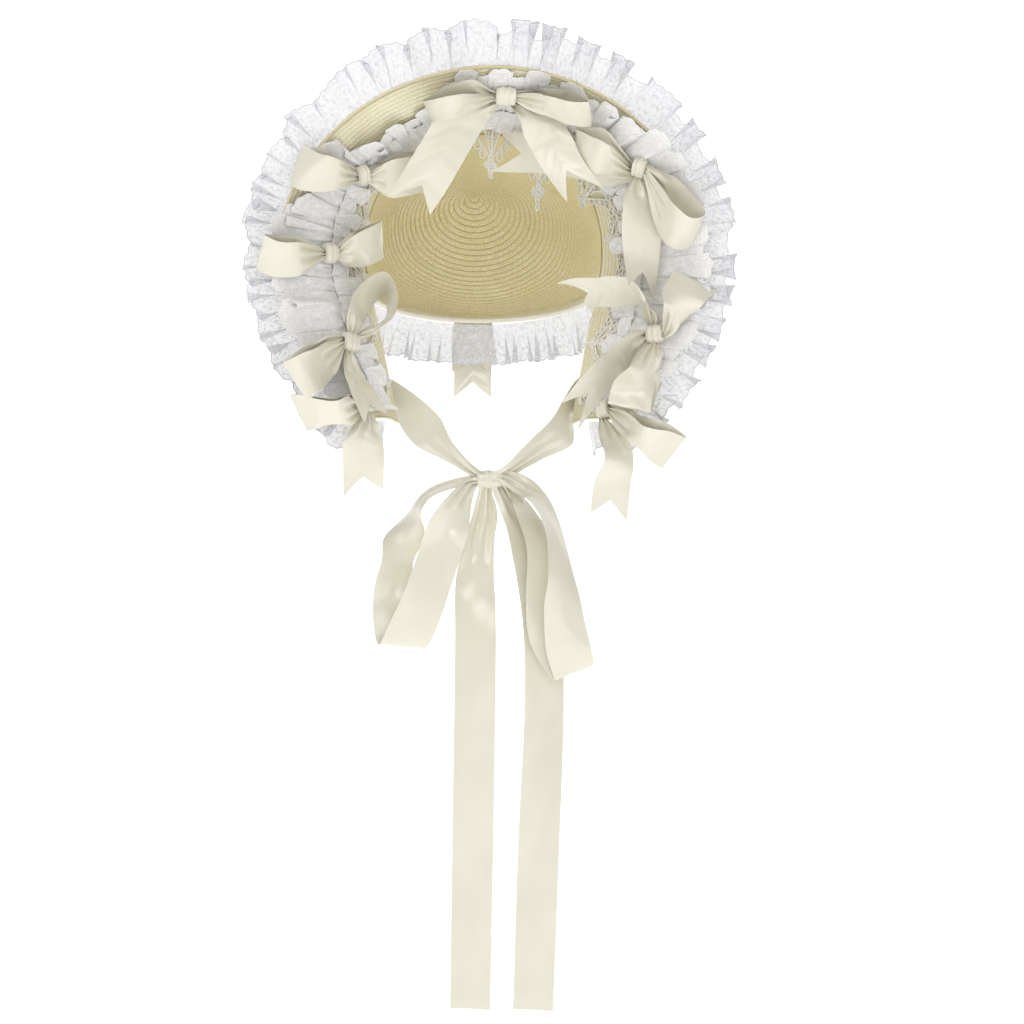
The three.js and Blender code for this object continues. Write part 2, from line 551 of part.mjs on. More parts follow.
// Satin ribbons. Each row is one section across a ribbon: x y z is its middle, turn the way of its width
// in degrees round the Y axis from +X towards +Z, tilt how far that width leans away from the viewer and
// wide its width. Loops start and end at their knot; tails and straps run away from it.
const RIBBONS = {
  chin_tail_left: {
    notch: 0,
    rows: [
      { x: -2.8, y: 28.7, z: -175.7, turn: 0, tilt: 46, wide: 12.0 },
      { x: -2.0, y: 37.8, z: -194.0, turn: 0, tilt: 20, wide: 20.0 },
      { x: -6.3, y: 36.2, z: -218.9, turn: -4, tilt: 23, wide: 25.0 },
      { x: -9.9, y: 34.5, z: -244.5, turn: 3, tilt: 12, wide: 30.0 },
      { x: -9.8, y: 30.5, z: -290.2, turn: 0, tilt: -6, wide: 30.8 },
      { x: -11.5, y: 28.7, z: -410.2, turn: 0, tilt: -6, wide: 30.8 },
      { x: -14.2, y: 26.9, z: -566.7, turn: -3, tilt: -5, wide: 30.0 },
    ],
  },
  chin_tail_right: {
    notch: 0,
    rows: [
      { x: 7.2, y: 27.1, z: -175.9, turn: 0, tilt: 45, wide: 13.0 },
      { x: 23.9, y: 28.3, z: -205.3, turn: 11, tilt: 41, wide: 30.0 },
      { x: 37.9, y: 27.9, z: -259.5, turn: 3, tilt: 12, wide: 30.0 },
      { x: 41.9, y: 26.5, z: -327.8, turn: 0, tilt: 7, wide: 30.0 },
      { x: 37.1, y: 24.0, z: -447.7, turn: 0, tilt: -6, wide: 30.8 },
      { x: 32.8, y: 22.4, z: -567.4, turn: -3, tilt: -5, wide: 30.0 },
    ],
  },
  chin_loop_left: {
    notch: 0,
    rows: [
      { x: -10.1, y: 27.6, z: -168.6, turn: -100, tilt: -62, wide: 13.0 },
      { x: -43.2, y: 31.7, z: -179.0, turn: -105, tilt: -69, wide: 22.0 },
      { x: -56.6, y: 34.0, z: -197.4, turn: -4, tilt: -69, wide: 30.0 },
      { x: -67.5, y: 34.0, z: -227.4, turn: -5, tilt: 33, wide: 30.0 },
      { x: -71.3, y: 32.4, z: -259.6, turn: -1, tilt: -5, wide: 30.8 },
      { x: -69.6, y: 29.2, z: -284.6, turn: -8, tilt: -5, wide: 33.2 },
      { x: -65.4, y: 23.8, z: -294.0, turn: -5, tilt: -5, wide: 34.5 },
      { x: -57.9, y: 18.0, z: -279.6, turn: -2, tilt: -5, wide: 36.5 },
      { x: -46.9, y: 15.0, z: -252.0, turn: 0, tilt: -5, wide: 33.5 },
      { x: -35.4, y: 13.9, z: -217.8, turn: 0, tilt: -6, wide: 32.7 },
      { x: -27.4, y: 16.1, z: -193.6, turn: -5, tilt: 29, wide: 30.0 },
      { x: -13.9, y: 25.1, z: -172.5, turn: -21, tilt: 36, wide: 13.0 },
    ],
  },
  chin_loop_right: {
    notch: 0,
    rows: [
      { x: 12.6, y: 25.3, z: -172.1, turn: 47, tilt: 57, wide: 13.0 },
      { x: 25.0, y: 24.1, z: -190.2, turn: 11, tilt: 59, wide: 30.0 },
      { x: 39.2, y: 22.8, z: -221.0, turn: 0, tilt: 38, wide: 30.0 },
      { x: 40.2, y: 21.7, z: -260.4, turn: -5, tilt: 26, wide: 30.0 },
      { x: 46.2, y: 18.1, z: -293.6, turn: 0, tilt: -6, wide: 30.7 },
      { x: 61.7, y: 11.6, z: -314.6, turn: 22, tilt: -5, wide: 30.5 },
      { x: 57.7, y: 6.9, z: -296.0, turn: 3, tilt: -5, wide: 33.5 },
      { x: 53.8, y: 5.3, z: -268.4, turn: 0, tilt: 9, wide: 30.0 },
      { x: 51.9, y: 5.5, z: -240.9, turn: 0, tilt: 44, wide: 30.0 },
      { x: 46.6, y: 8.0, z: -206.7, turn: 6, tilt: 59, wide: 30.0 },
      { x: 34.4, y: 13.2, z: -182.1, turn: 21, tilt: 57, wide: 30.0 },
      { x: 11.7, y: 22.7, z: -167.9, turn: 71, tilt: 43, wide: 13.0 },
    ],
  },
  chin_strap_left: {
    notch: 0,
    rows: [
      { x: -80.2, y: 52.9, z: -103.8, turn: -73, tilt: -5, wide: 28.3 },
      { x: -75.2, y: 62.6, z: -104.9, turn: -78, tilt: -8, wide: 28.6 },
      { x: -71.6, y: 73.5, z: -104.7, turn: -83, tilt: -12, wide: 29.2 },
      { x: -46.8, y: 60.2, z: -129.6, turn: -120, tilt: 14, wide: 30.0 },
      { x: -30.8, y: 42.6, z: -147.5, turn: -130, tilt: 52, wide: 24.0 },
      { x: -11.8, y: 27.4, z: -164.0, turn: -134, tilt: 56, wide: 13.0 },
    ],
  },
  chin_strap_right: {
    notch: 0,
    rows: [
      { x: 80.2, y: 52.9, z: -103.8, turn: -107, tilt: -5, wide: 28.3 },
      { x: 75.2, y: 62.6, z: -104.9, turn: -102, tilt: -8, wide: 28.6 },
      { x: 71.6, y: 73.5, z: -104.7, turn: -97, tilt: -12, wide: 29.2 },
      { x: 58.9, y: 50.0, z: -131.2, turn: -60, tilt: 25, wide: 30.0 },
      { x: 38.0, y: 35.9, z: -146.0, turn: -50, tilt: 46, wide: 24.0 },
      { x: 15.0, y: 25.0, z: -163.0, turn: -43, tilt: 54, wide: 13.0 },
    ],
  },
  upper_left_bow_loop_left: {
    notch: 0,
    rows: [
      { x: -100.7, y: 7.9, z: 57.1, turn: -88, tilt: 50, wide: 7.9 },
      { x: -117.4, y: -18.1, z: 53.6, turn: -90, tilt: 49, wide: 30.0 },
      { x: -137.3, y: -19.2, z: 56.5, turn: -107, tilt: 2, wide: 30.3 },
      { x: -143.8, y: -18.6, z: 58.6, turn: -109, tilt: 2, wide: 30.8 },
      { x: -132.7, y: -26.7, z: 51.5, turn: -114, tilt: 23, wide: 30.0 },
      { x: -113.5, y: -24.5, z: 50.6, turn: -87, tilt: 53, wide: 30.0 },
      { x: -99.2, y: 8.5, z: 53.6, turn: -88, tilt: 50, wide: 7.9 },
    ],
  },
  upper_left_bow_loop_right: {
    notch: 0,
    rows: [
      { x: -92.0, y: 16.3, z: 57.5, turn: -87, tilt: 51, wide: 8.0 },
      { x: -74.9, y: 19.8, z: 57.6, turn: -88, tilt: 37, wide: 30.0 },
      { x: -61.3, y: 23.7, z: 59.9, turn: -90, tilt: 19, wide: 30.0 },
      { x: -48.3, y: 28.5, z: 61.1, turn: -89, tilt: 22, wide: 30.0 },
      { x: -62.0, y: 16.7, z: 55.5, turn: -91, tilt: 23, wide: 30.0 },
      { x: -75.9, y: 13.9, z: 53.1, turn: -91, tilt: 38, wide: 30.0 },
      { x: -90.4, y: 17.4, z: 54.2, turn: -87, tilt: 51, wide: 9.0 },
    ],
  },
  mid_left_bow_loop_left: {
    notch: 0,
    rows: [
      { x: -125.1, y: 14.7, z: -0.4, turn: -90, tilt: 6, wide: 5.2 },
      { x: -143.0, y: -13.8, z: -6.2, turn: -86, tilt: 39, wide: 30.0 },
      { x: -162.2, y: -11.9, z: -6.2, turn: -98, tilt: 28, wide: 30.0 },
      { x: -170.2, y: -14.8, z: -5.1, turn: -105, tilt: 37, wide: 30.0 },
      { x: -158.3, y: -19.3, z: -10.9, turn: -100, tilt: 36, wide: 30.0 },
      { x: -141.6, y: -20.0, z: -10.5, turn: -85, tilt: 43, wide: 30.0 },
      { x: -123.6, y: 12.6, z: -3.9, turn: -97, tilt: -1, wide: 6.0 },
    ],
  },
  mid_left_bow_loop_right: {
    notch: 0,
    rows: [
      { x: -115.4, y: 23.1, z: -0.1, turn: -90, tilt: 6, wide: 5.2 },
      { x: -99.6, y: 25.8, z: 2.9, turn: -85, tilt: 42, wide: 30.0 },
      { x: -87.5, y: 30.6, z: 7.0, turn: -88, tilt: 23, wide: 30.0 },
      { x: -79.1, y: 35.8, z: 10.3, turn: -87, tilt: 26, wide: 30.0 },
      { x: -88.9, y: 23.7, z: 4.3, turn: -89, tilt: 27, wide: 30.0 },
      { x: -100.9, y: 19.9, z: -0.3, turn: -87, tilt: 44, wide: 30.0 },
      { x: -113.6, y: 21.5, z: -3.5, turn: -90, tilt: 6, wide: 5.9 },
    ],
  },
  jaw_left_bow_loop: {
    notch: 0,
    rows: [
      { x: -96.2, y: 16.1, z: -112.0, turn: -91, tilt: -19, wide: 5.6 },
      { x: -111.0, y: -10.4, z: -120.2, turn: -75, tilt: 49, wide: 30.0 },
      { x: -125.5, y: -9.0, z: -120.2, turn: -67, tilt: 47, wide: 30.0 },
      { x: -134.9, y: -3.9, z: -120.4, turn: -65, tilt: 34, wide: 30.0 },
      { x: -142.9, y: 2.9, z: -120.9, turn: -66, tilt: 7, wide: 30.0 },
      { x: -132.1, y: -10.2, z: -121.0, turn: -62, tilt: 34, wide: 30.0 },
      { x: -124.2, y: -15.2, z: -121.2, turn: -65, tilt: 50, wide: 30.0 },
      { x: -110.0, y: -15.5, z: -121.1, turn: -76, tilt: 53, wide: 30.0 },
      { x: -95.3, y: 12.0, z: -114.7, turn: -91, tilt: -19, wide: 5.6 },
    ],
  },
  jaw_left_bow_tail: {
    notch: 13,
    rows: [
      { x: -91.4, y: 15.9, z: -120.1, turn: 2, tilt: 34, wide: 8.2 },
      { x: -94.7, y: 7.7, z: -140.8, turn: 0, tilt: 19, wide: 30.0 },
      { x: -94.5, y: 13.7, z: -162.9, turn: 0, tilt: -6, wide: 30.4 },
      { x: -94.3, y: 19.8, z: -180.2, turn: 10, tilt: 5, wide: 30.0 },
    ],
  },
  low_left_bow_loop_left: {
    notch: 0,
    rows: [
      { x: -110.8, y: 19.4, z: -65.8, turn: -90, tilt: -17, wide: 5.5 },
      { x: -125.4, y: -4.2, z: -79.7, turn: -69, tilt: 43, wide: 30.0 },
      { x: -137.3, y: -20.7, z: -90.3, turn: -65, tilt: 15, wide: 30.0 },
      { x: -145.3, y: -24.2, z: -99.9, turn: -59, tilt: -3, wide: 33.8 },
      { x: -136.0, y: -27.9, z: -93.9, turn: -59, tilt: 11, wide: 30.0 },
      { x: -123.4, y: -10.4, z: -84.5, turn: -60, tilt: 38, wide: 30.0 },
      { x: -109.1, y: 15.8, z: -70.0, turn: -90, tilt: -17, wide: 6.3 },
    ],
  },
  low_left_bow_loop_up: {
    notch: 0,
    rows: [
      { x: -103.8, y: 26.7, z: -60.2, turn: 4, tilt: 40, wide: 7.0 },
      { x: -98.9, y: 25.4, z: -46.3, turn: -35, tilt: 58, wide: 30.0 },
      { x: -94.0, y: 26.0, z: -35.4, turn: -50, tilt: 56, wide: 30.0 },
      { x: -78.6, y: 37.9, z: -21.8, turn: -83, tilt: 60, wide: 30.0 },
      { x: -72.1, y: 40.5, z: -32.8, turn: -125, tilt: 68, wide: 30.0 },
      { x: -73.9, y: 34.5, z: -46.9, turn: -159, tilt: 74, wide: 30.0 },
      { x: -83.8, y: 29.6, z: -56.3, turn: -243, tilt: 78, wide: 24.0 },
      { x: -97.0, y: 27.6, z: -61.4, turn: -279, tilt: 22, wide: 5.9 },
    ],
  },
  low_left_bow_tail: {
    notch: 10,
    rows: [
      { x: -105.6, y: 20.5, z: -75.1, turn: 3, tilt: 40, wide: 7.9 },
      { x: -102.0, y: 10.4, z: -91.9, turn: 12, tilt: 62, wide: 30.0 },
      { x: -94.0, y: 5.5, z: -107.3, turn: 16, tilt: 52, wide: 30.0 },
      { x: -84.7, y: 6.9, z: -126.0, turn: 22, tilt: 48, wide: 30.0 },
    ],
  },
  jaw_right_bow_loop: {
    notch: 0,
    rows: [
      { x: 91.0, y: 18.0, z: -115.6, turn: -100, tilt: -14, wide: 5.5 },
      { x: 103.4, y: -7.4, z: -131.1, turn: -101, tilt: 49, wide: 30.0 },
      { x: 116.6, y: -8.6, z: -136.2, turn: -105, tilt: 44, wide: 30.0 },
      { x: 128.9, y: 9.8, z: -142.0, turn: -118, tilt: 21, wide: 30.0 },
      { x: 139.2, y: 14.8, z: -149.7, turn: -127, tilt: 19, wide: 30.0 },
      { x: 126.1, y: 4.0, z: -144.8, turn: -123, tilt: 34, wide: 30.0 },
      { x: 113.1, y: -14.3, z: -140.5, turn: -110, tilt: 57, wide: 30.0 },
      { x: 101.9, y: -12.2, z: -134.2, turn: -102, tilt: 56, wide: 30.0 },
      { x: 89.2, y: 14.5, z: -118.6, turn: -100, tilt: -14, wide: 5.5 },
    ],
  },
  jaw_right_bow_tail: {
    notch: 13,
    rows: [
      { x: 85.4, y: 18.3, z: -124.2, turn: -8, tilt: -38, wide: 7.9 },
      { x: 91.3, y: -24.0, z: -151.5, turn: -7, tilt: 37, wide: 30.0 },
      { x: 87.4, y: -17.6, z: -173.4, turn: -6, tilt: 19, wide: 30.0 },
      { x: 85.3, y: -11.4, z: -197.7, turn: -12, tilt: 16, wide: 30.0 },
    ],
  },
  low_right_bow_tail_low: {
    notch: 13,
    rows: [
      { x: 117.4, y: 15.4, z: -61.4, turn: -91, tilt: -9, wide: 6.9 },
      { x: 104.2, y: 3.6, z: -72.2, turn: -72, tilt: 45, wide: 30.0 },
      { x: 93.8, y: 4.6, z: -84.5, turn: -52, tilt: 35, wide: 30.0 },
      { x: 78.9, y: 5.3, z: -97.2, turn: -50, tilt: 38, wide: 30.0 },
      { x: 58.1, y: 9.7, z: -123.5, turn: -54, tilt: 34, wide: 30.0 },
    ],
  },
  low_right_bow_loop_down: {
    notch: 0,
    rows: [
      { x: 123.0, y: 10.9, z: -68.2, turn: -2, tilt: -32, wide: 7.3 },
      { x: 115.8, y: -4.5, z: -84.2, turn: 7, tilt: 40, wide: 30.0 },
      { x: 107.4, y: -0.3, z: -104.0, turn: 3, tilt: -5, wide: 32.7 },
      { x: 101.1, y: -10.2, z: -117.9, turn: -13, tilt: -5, wide: 32.6 },
      { x: 103.6, y: -8.0, z: -104.4, turn: -14, tilt: -5, wide: 31.2 },
      { x: 110.6, y: -11.1, z: -88.3, turn: -12, tilt: 45, wide: 30.0 },
      { x: 122.1, y: 8.2, z: -67.9, turn: -2, tilt: -32, wide: 5.7 },
    ],
  },
  low_right_bow_loop_right: {
    notch: 0,
    rows: [
      { x: 130.5, y: 8.4, z: -57.5, turn: -92, tilt: -9, wide: 5.4 },
      { x: 137.7, y: -7.9, z: -40.5, turn: -25, tilt: 34, wide: 30.0 },
      { x: 144.5, y: -7.5, z: -30.0, turn: -25, tilt: -5, wide: 31.2 },
      { x: 151.8, y: -2.2, z: -22.0, turn: -27, tilt: -5, wide: 36.0 },
      { x: 141.0, y: -15.2, z: -33.7, turn: -22, tilt: -5, wide: 31.8 },
      { x: 133.2, y: -14.5, z: -46.3, turn: -30, tilt: 47, wide: 30.0 },
      { x: 128.9, y: 4.9, z: -61.7, turn: -92, tilt: -9, wide: 6.1 },
    ],
  },
  low_right_bow_tail_high: {
    notch: 12,
    rows: [
      { x: 122.2, y: 13.7, z: -53.5, turn: -2, tilt: -32, wide: 7.4 },
      { x: 117.9, y: 4.4, z: -40.4, turn: -29, tilt: 56, wide: 22.0 },
      { x: 108.3, y: 5.6, z: -30.6, turn: -63, tilt: 52, wide: 30.0 },
      { x: 91.3, y: 13.3, z: -29.3, turn: -84, tilt: 45, wide: 30.0 },
      { x: 77.1, y: 20.7, z: -29.2, turn: -76, tilt: 46, wide: 30.0 },
      { x: 62.5, y: 28.1, z: -30.5, turn: -35, tilt: 13, wide: 30.0 },
    ],
  },
  upper_right_bow_tail_high: {
    notch: 14,
    rows: [
      { x: 104.5, y: 3.7, z: 56.6, turn: -70, tilt: 32, wide: 6.8 },
      { x: 85.4, y: 3.4, z: 61.2, turn: -85, tilt: 42, wide: 30.0 },
      { x: 60.2, y: 11.9, z: 69.6, turn: -83, tilt: 32, wide: 30.0 },
      { x: 35.2, y: 20.3, z: 74.2, turn: -83, tilt: 25, wide: 30.0 },
      { x: 5.2, y: 26.0, z: 76.5, turn: -101, tilt: 6, wide: 30.0 },
    ],
  },
  upper_right_bow_loop_left: {
    notch: 0,
    rows: [
      { x: 104.4, y: -1.9, z: 62.7, turn: -83, tilt: 41, wide: 7.0 },
      { x: 83.4, y: -16.8, z: 74.9, turn: -80, tilt: 48, wide: 30.0 },
      { x: 70.4, y: -13.8, z: 74.4, turn: -84, tilt: 30, wide: 30.0 },
      { x: 61.6, y: -6.9, z: 75.3, turn: -84, tilt: 24, wide: 30.0 },
      { x: 70.9, y: -21.9, z: 68.1, turn: -83, tilt: 36, wide: 30.0 },
      { x: 84.6, y: -23.9, z: 64.3, turn: -74, tilt: 51, wide: 30.0 },
      { x: 102.9, y: -2.2, z: 59.3, turn: -83, tilt: 41, wide: 7.0 },
    ],
  },
  upper_right_bow_tail_low: {
    notch: 14,
    rows: [
      { x: 108.9, y: 0.6, z: 55.7, turn: -5, tilt: -36, wide: 6.7 },
      { x: 109.7, y: -4.7, z: 36.7, turn: 3, tilt: 27, wide: 30.0 },
      { x: 111.2, y: -2.3, z: 12.5, turn: 3, tilt: 9, wide: 30.0 },
      { x: 112.1, y: 3.6, z: -9.2, turn: -6, tilt: 23, wide: 30.0 },
      { x: 110.1, y: -7.3, z: -32.2, turn: -24, tilt: 39, wide: 30.0 },
    ],
  },
  upper_right_bow_loop_right: {
    notch: 0,
    rows: [
      { x: 114.9, y: -8.4, z: 60.7, turn: -82, tilt: 40, wide: 7.0 },
      { x: 129.8, y: -14.8, z: 43.0, turn: -107, tilt: 55, wide: 30.0 },
      { x: 142.0, y: -16.0, z: 29.0, turn: -107, tilt: 44, wide: 30.0 },
      { x: 151.2, y: -14.4, z: 14.5, turn: -112, tilt: 32, wide: 30.0 },
      { x: 136.7, y: -27.6, z: 11.0, turn: -120, tilt: 40, wide: 30.0 },
      { x: 124.7, y: -23.4, z: 24.2, turn: -116, tilt: 53, wide: 30.0 },
      { x: 113.6, y: -8.2, z: 57.2, turn: -82, tilt: 40, wide: 5.3 },
    ],
  },
  top_bow_tail_left: {
    notch: 16,
    rows: [
      { x: 3.5, y: -16.9, z: 106.7, turn: -5, tilt: 5, wide: 6.0 },
      { x: -20.1, y: -14.8, z: 98.3, turn: -18, tilt: -5, wide: 33.1 },
      { x: -33.9, y: -7.4, z: 76.8, turn: -30, tilt: -5, wide: 33.9 },
      { x: -47.8, y: -0.1, z: 53.4, turn: -29, tilt: -5, wide: 34.7 },
      { x: -61.2, y: 5.3, z: 32.2, turn: -23, tilt: -5, wide: 33.8 },
    ],
  },
  top_bow_tail_right: {
    notch: 16,
    rows: [
      { x: 13.3, y: -17.1, z: 106.5, turn: 6, tilt: -15, wide: 6.0 },
      { x: 30.2, y: -19.6, z: 96.8, turn: 16, tilt: 27, wide: 30.0 },
      { x: 40.7, y: -14.6, z: 80.5, turn: 9, tilt: -5, wide: 32.7 },
      { x: 51.1, y: -14.7, z: 61.2, turn: 14, tilt: -5, wide: 30.3 },
      { x: 67.5, y: -16.1, z: 38.7, turn: 22, tilt: 7, wide: 30.0 },
    ],
  },
  top_bow_loop_left: {
    notch: 0,
    rows: [
      { x: -0.9, y: -22.7, z: 110.8, turn: -70, tilt: 60, wide: 8.3 },
      { x: -17.3, y: -39.1, z: 109.1, turn: -74, tilt: 62, wide: 30.0 },
      { x: -36.3, y: -37.3, z: 103.0, turn: -72, tilt: 60, wide: 30.0 },
      { x: -49.6, y: -30.0, z: 96.4, turn: -50, tilt: 62, wide: 30.0 },
      { x: -38.7, y: -45.1, z: 95.9, turn: -54, tilt: 62, wide: 30.0 },
      { x: -22.5, y: -45.7, z: 100.0, turn: -56, tilt: 68, wide: 30.0 },
      { x: -1.0, y: -24.5, z: 107.9, turn: -69, tilt: 60, wide: 7.1 },
    ],
  },
  top_bow_loop_right: {
    notch: 0,
    rows: [
      { x: 16.7, y: -24.3, z: 110.6, turn: -79, tilt: 62, wide: 8.2 },
      { x: 36.5, y: -36.1, z: 105.1, turn: -68, tilt: 65, wide: 30.0 },
      { x: 54.2, y: -31.4, z: 104.0, turn: -67, tilt: 62, wide: 30.0 },
      { x: 68.0, y: -38.8, z: 95.0, turn: -70, tilt: 59, wide: 30.0 },
      { x: 52.4, y: -40.2, z: 95.2, turn: -73, tilt: 63, wide: 30.0 },
      { x: 35.4, y: -43.0, z: 99.6, turn: -68, tilt: 69, wide: 30.0 },
      { x: 16.6, y: -25.9, z: 108.0, turn: -79, tilt: 62, wide: 7.1 },
    ],
  },
  back_bow_tail_under: {
    notch: 10,
    rows: [
      { x: -3.0, y: 161.5, z: -28.5, turn: 0, tilt: 0, wide: 10.0 },
      { x: -3.5, y: 155.0, z: -42.0, turn: 2, tilt: 0, wide: 27.0 },
      { x: -4.0, y: 152.0, z: -62.0, turn: 3, tilt: 0, wide: 30.0 },
      { x: -4.0, y: 151.0, z: -82.0, turn: 2, tilt: 0, wide: 30.0 },
    ],
  },
  back_bow_tail_over: {
    notch: 13,
    rows: [
      { x: 3.0, y: 164.5, z: -28.6, turn: 0, tilt: 0, wide: 10.0 },
      { x: 0.5, y: 159.0, z: -44.0, turn: -1, tilt: 0, wide: 28.0 },
      { x: -1.0, y: 157.0, z: -66.0, turn: -2, tilt: 0, wide: 30.0 },
      { x: -2.0, y: 156.0, z: -86.0, turn: -2, tilt: 0, wide: 30.0 },
      { x: -2.0, y: 155.0, z: -102.0, turn: 0, tilt: 0, wide: 30.0 },
    ],
  },
  back_bow_loop_left: {
    notch: 0,
    rows: [
      { x: -6.8, y: 161.2, z: -20.0, turn: 90, tilt: 0, wide: 10.0 },
      { x: -22.0, y: 159.1, z: -21.0, turn: 90, tilt: 0, wide: 27.0 },
      { x: -38.0, y: 155.8, z: -23.0, turn: 94, tilt: 0, wide: 30.0 },
      { x: -46.0, y: 156.4, z: -24.0, turn: 95, tilt: 0, wide: 30.0 },
      { x: -38.0, y: 162.8, z: -23.0, turn: 94, tilt: 0, wide: 30.0 },
      { x: -22.0, y: 165.4, z: -21.0, turn: 90, tilt: 0, wide: 27.0 },
      { x: -6.8, y: 164.7, z: -20.0, turn: 90, tilt: 0, wide: 10.0 },
    ],
  },
  back_bow_loop_right: {
    notch: 0,
    rows: [
      { x: 6.8, y: 161.2, z: -20.0, turn: 90, tilt: 0, wide: 10.0 },
      { x: 22.0, y: 159.1, z: -21.0, turn: 90, tilt: 0, wide: 27.0 },
      { x: 38.0, y: 155.8, z: -23.0, turn: 86, tilt: 0, wide: 30.0 },
      { x: 46.0, y: 156.4, z: -24.0, turn: 85, tilt: 0, wide: 30.0 },
      { x: 38.0, y: 162.8, z: -23.0, turn: 86, tilt: 0, wide: 30.0 },
      { x: 22.0, y: 165.4, z: -21.0, turn: 90, tilt: 0, wide: 27.0 },
      { x: 6.8, y: 164.7, z: -20.0, turn: 90, tilt: 0, wide: 10.0 },
    ],
  },
};

// Knots on the brim: long runs along the loops and wide across them.
const BRIM_KNOTS = [
  { name: "upper_left_bow_knot", at: -2.95, share: 0.55, long: 9.2, wide: 15.0, deep: 11.0 },
  { name: "mid_left_bow_knot", at: -4.83, share: 0.60, long: 11.5, wide: 15.0, deep: 10.8 },
  { name: "jaw_left_bow_knot", at: -7.76, share: 0.78, long: 8.3, wide: 13.8, deep: 8.8 },
  { name: "low_left_bow_knot", at: -6.60, share: 0.60, long: 13.1, wide: 14.3, deep: 11.0 },
  { name: "jaw_right_bow_knot", at: 7.86, share: 0.71, long: 10.1, wide: 15.0, deep: 9.8 },
  { name: "low_right_bow_knot", at: 6.38, share: 0.81, long: 13.5, wide: 14.0, deep: 9.4 },
  { name: "upper_right_bow_knot", at: 2.96, share: 0.78, long: 10.2, wide: 15.0, deep: 10.0 },
  { name: "top_bow_knot", at: 0.19, share: 0.79, long: 15.4, wide: 15.0, deep: 10.8 },
];

// Knots away from the brim
const FREE_KNOTS = [
  { name: "chin_knot", x: 0.7, y: 25.5, z: -169.3, long: 20.4, wide: 13.0, deep: 9.0 },
  { name: "back_bow_knot", x: 0.0, y: 163.0, z: -20.0, long: 12.8, wide: 16.2, deep: 8.0 },
];

// A row's six values, smoothly between the rows
const ROW_KEYS = ["x", "y", "z", "turn", "tilt", "wide"];
function ribbonSection(rows, share) {
  const last = rows.length - 1;
  const place = share * last;
  const low = Math.min(Math.floor(place), last - 1);
  const value = (key, index) => {
    if (index < 0) return 2 * rows[0][key] - rows[1][key];
    if (index > last) return 2 * rows[last][key] - rows[last - 1][key];
    return rows[index][key];
  };
  const section = {};
  for (const key of ROW_KEYS) {
    section[key] = catmull(...[-1, 0, 1, 2].map((step) => value(key, low + step)), place - low);
  }
  return section;
}

function ribbonPoint(rows, share, side) {
  const { x, y, z, turn, tilt, wide } = ribbonSection(rows, share);
  const [t, l] = [THREE.MathUtils.degToRad(turn), THREE.MathUtils.degToRad(tilt)];
  const widthWay = new THREE.Vector3(Math.cos(t) * Math.cos(l), Math.sin(l), Math.sin(t) * Math.cos(l));
  return new THREE.Vector3(x, y, z).addScaledVector(widthWay, (side - 0.5) * wide);
}

// A tail ends in a swallow's notch, cut into its last stretch.
function ribbonSolid({ rows, notch }) {
  const segments = rows.length > 9 ? 12 : rows.length > 5 ? 8 : 6;
  const across = notch > 0 ? 2 : 1;
  const length = new THREE.Vector3(rows[0].x, rows[0].y, rows[0].z).distanceTo(
    new THREE.Vector3(rows.at(-1).x, rows.at(-1).y, rows.at(-1).z),
  );
  const pointAt = (u, v) => {
    const cut = u === 1 && across === 2 && v === 0.5 ? notch / length : 0;
    return ribbonPoint(rows, u - cut, v);
  };
  return sheetSolid(gridOf(segments, across, pointAt), SATIN);
}

// A knot: a short wrapped band, eight-sided, a little narrower at its two ends
const KNOT_STATIONS = [
  { share: -0.5, size: 0.82 },
  { share: 0, size: 1 },
  { share: 0.5, size: 0.82 },
];
function knotSolid(middle, longWay, wideWay, size) {
  const deepWay = longWay.clone().cross(wideWay).normalize();
  const positions = [];
  for (const station of KNOT_STATIONS) {
    for (let k = 0; k < 8; k++) {
      const turn = ((k + 0.5) * Math.PI) / 4;
      const round = 1.08 * station.size;
      const point = middle.clone().addScaledVector(longWay, station.share * size.long);
      point.addScaledVector(wideWay, (Math.cos(turn) * round * size.wide) / 2);
      positions.push(point.addScaledVector(deepWay, (Math.sin(turn) * round * size.deep) / 2));
    }
  }
  const triangles = [];
  for (let i = 0; i < 2; i++) {
    for (let k = 0; k < 8; k++) {
      const next = (k + 1) % 8;
      const [a, b, c, d] = [i * 8 + k, i * 8 + next, (i + 1) * 8 + next, (i + 1) * 8 + k];
      triangles.push([a, b, c], [a, c, d]);
    }
  }
  for (let k = 1; k < 7; k++) triangles.push([0, k + 1, k], [16, 16 + k, 17 + k]);
  return closedSolid(positions, triangles);
}

function brimKnotSolid({ at, share, long, wide, deep }) {
  const normal = brimNormal(at, share);
  const longWay = new THREE.Vector3(1, 0, 0).addScaledVector(normal, -normal.x).normalize();
  const wideWay = normal.clone().cross(longWay);
  return knotSolid(onBrim(at, share, KNOT_HEIGHT), longWay, wideWay, { long, wide, deep });
}

const bonnet = new THREE.Group();
const level = new THREE.Group();
level.position.copy(HEAD_SEAT).negate();
bonnet.add(level);

function addPiece(name, geometry, finish) {
  const mesh = new THREE.Mesh(geometry, finish());
  mesh.name = name;
  level.add(mesh);
}

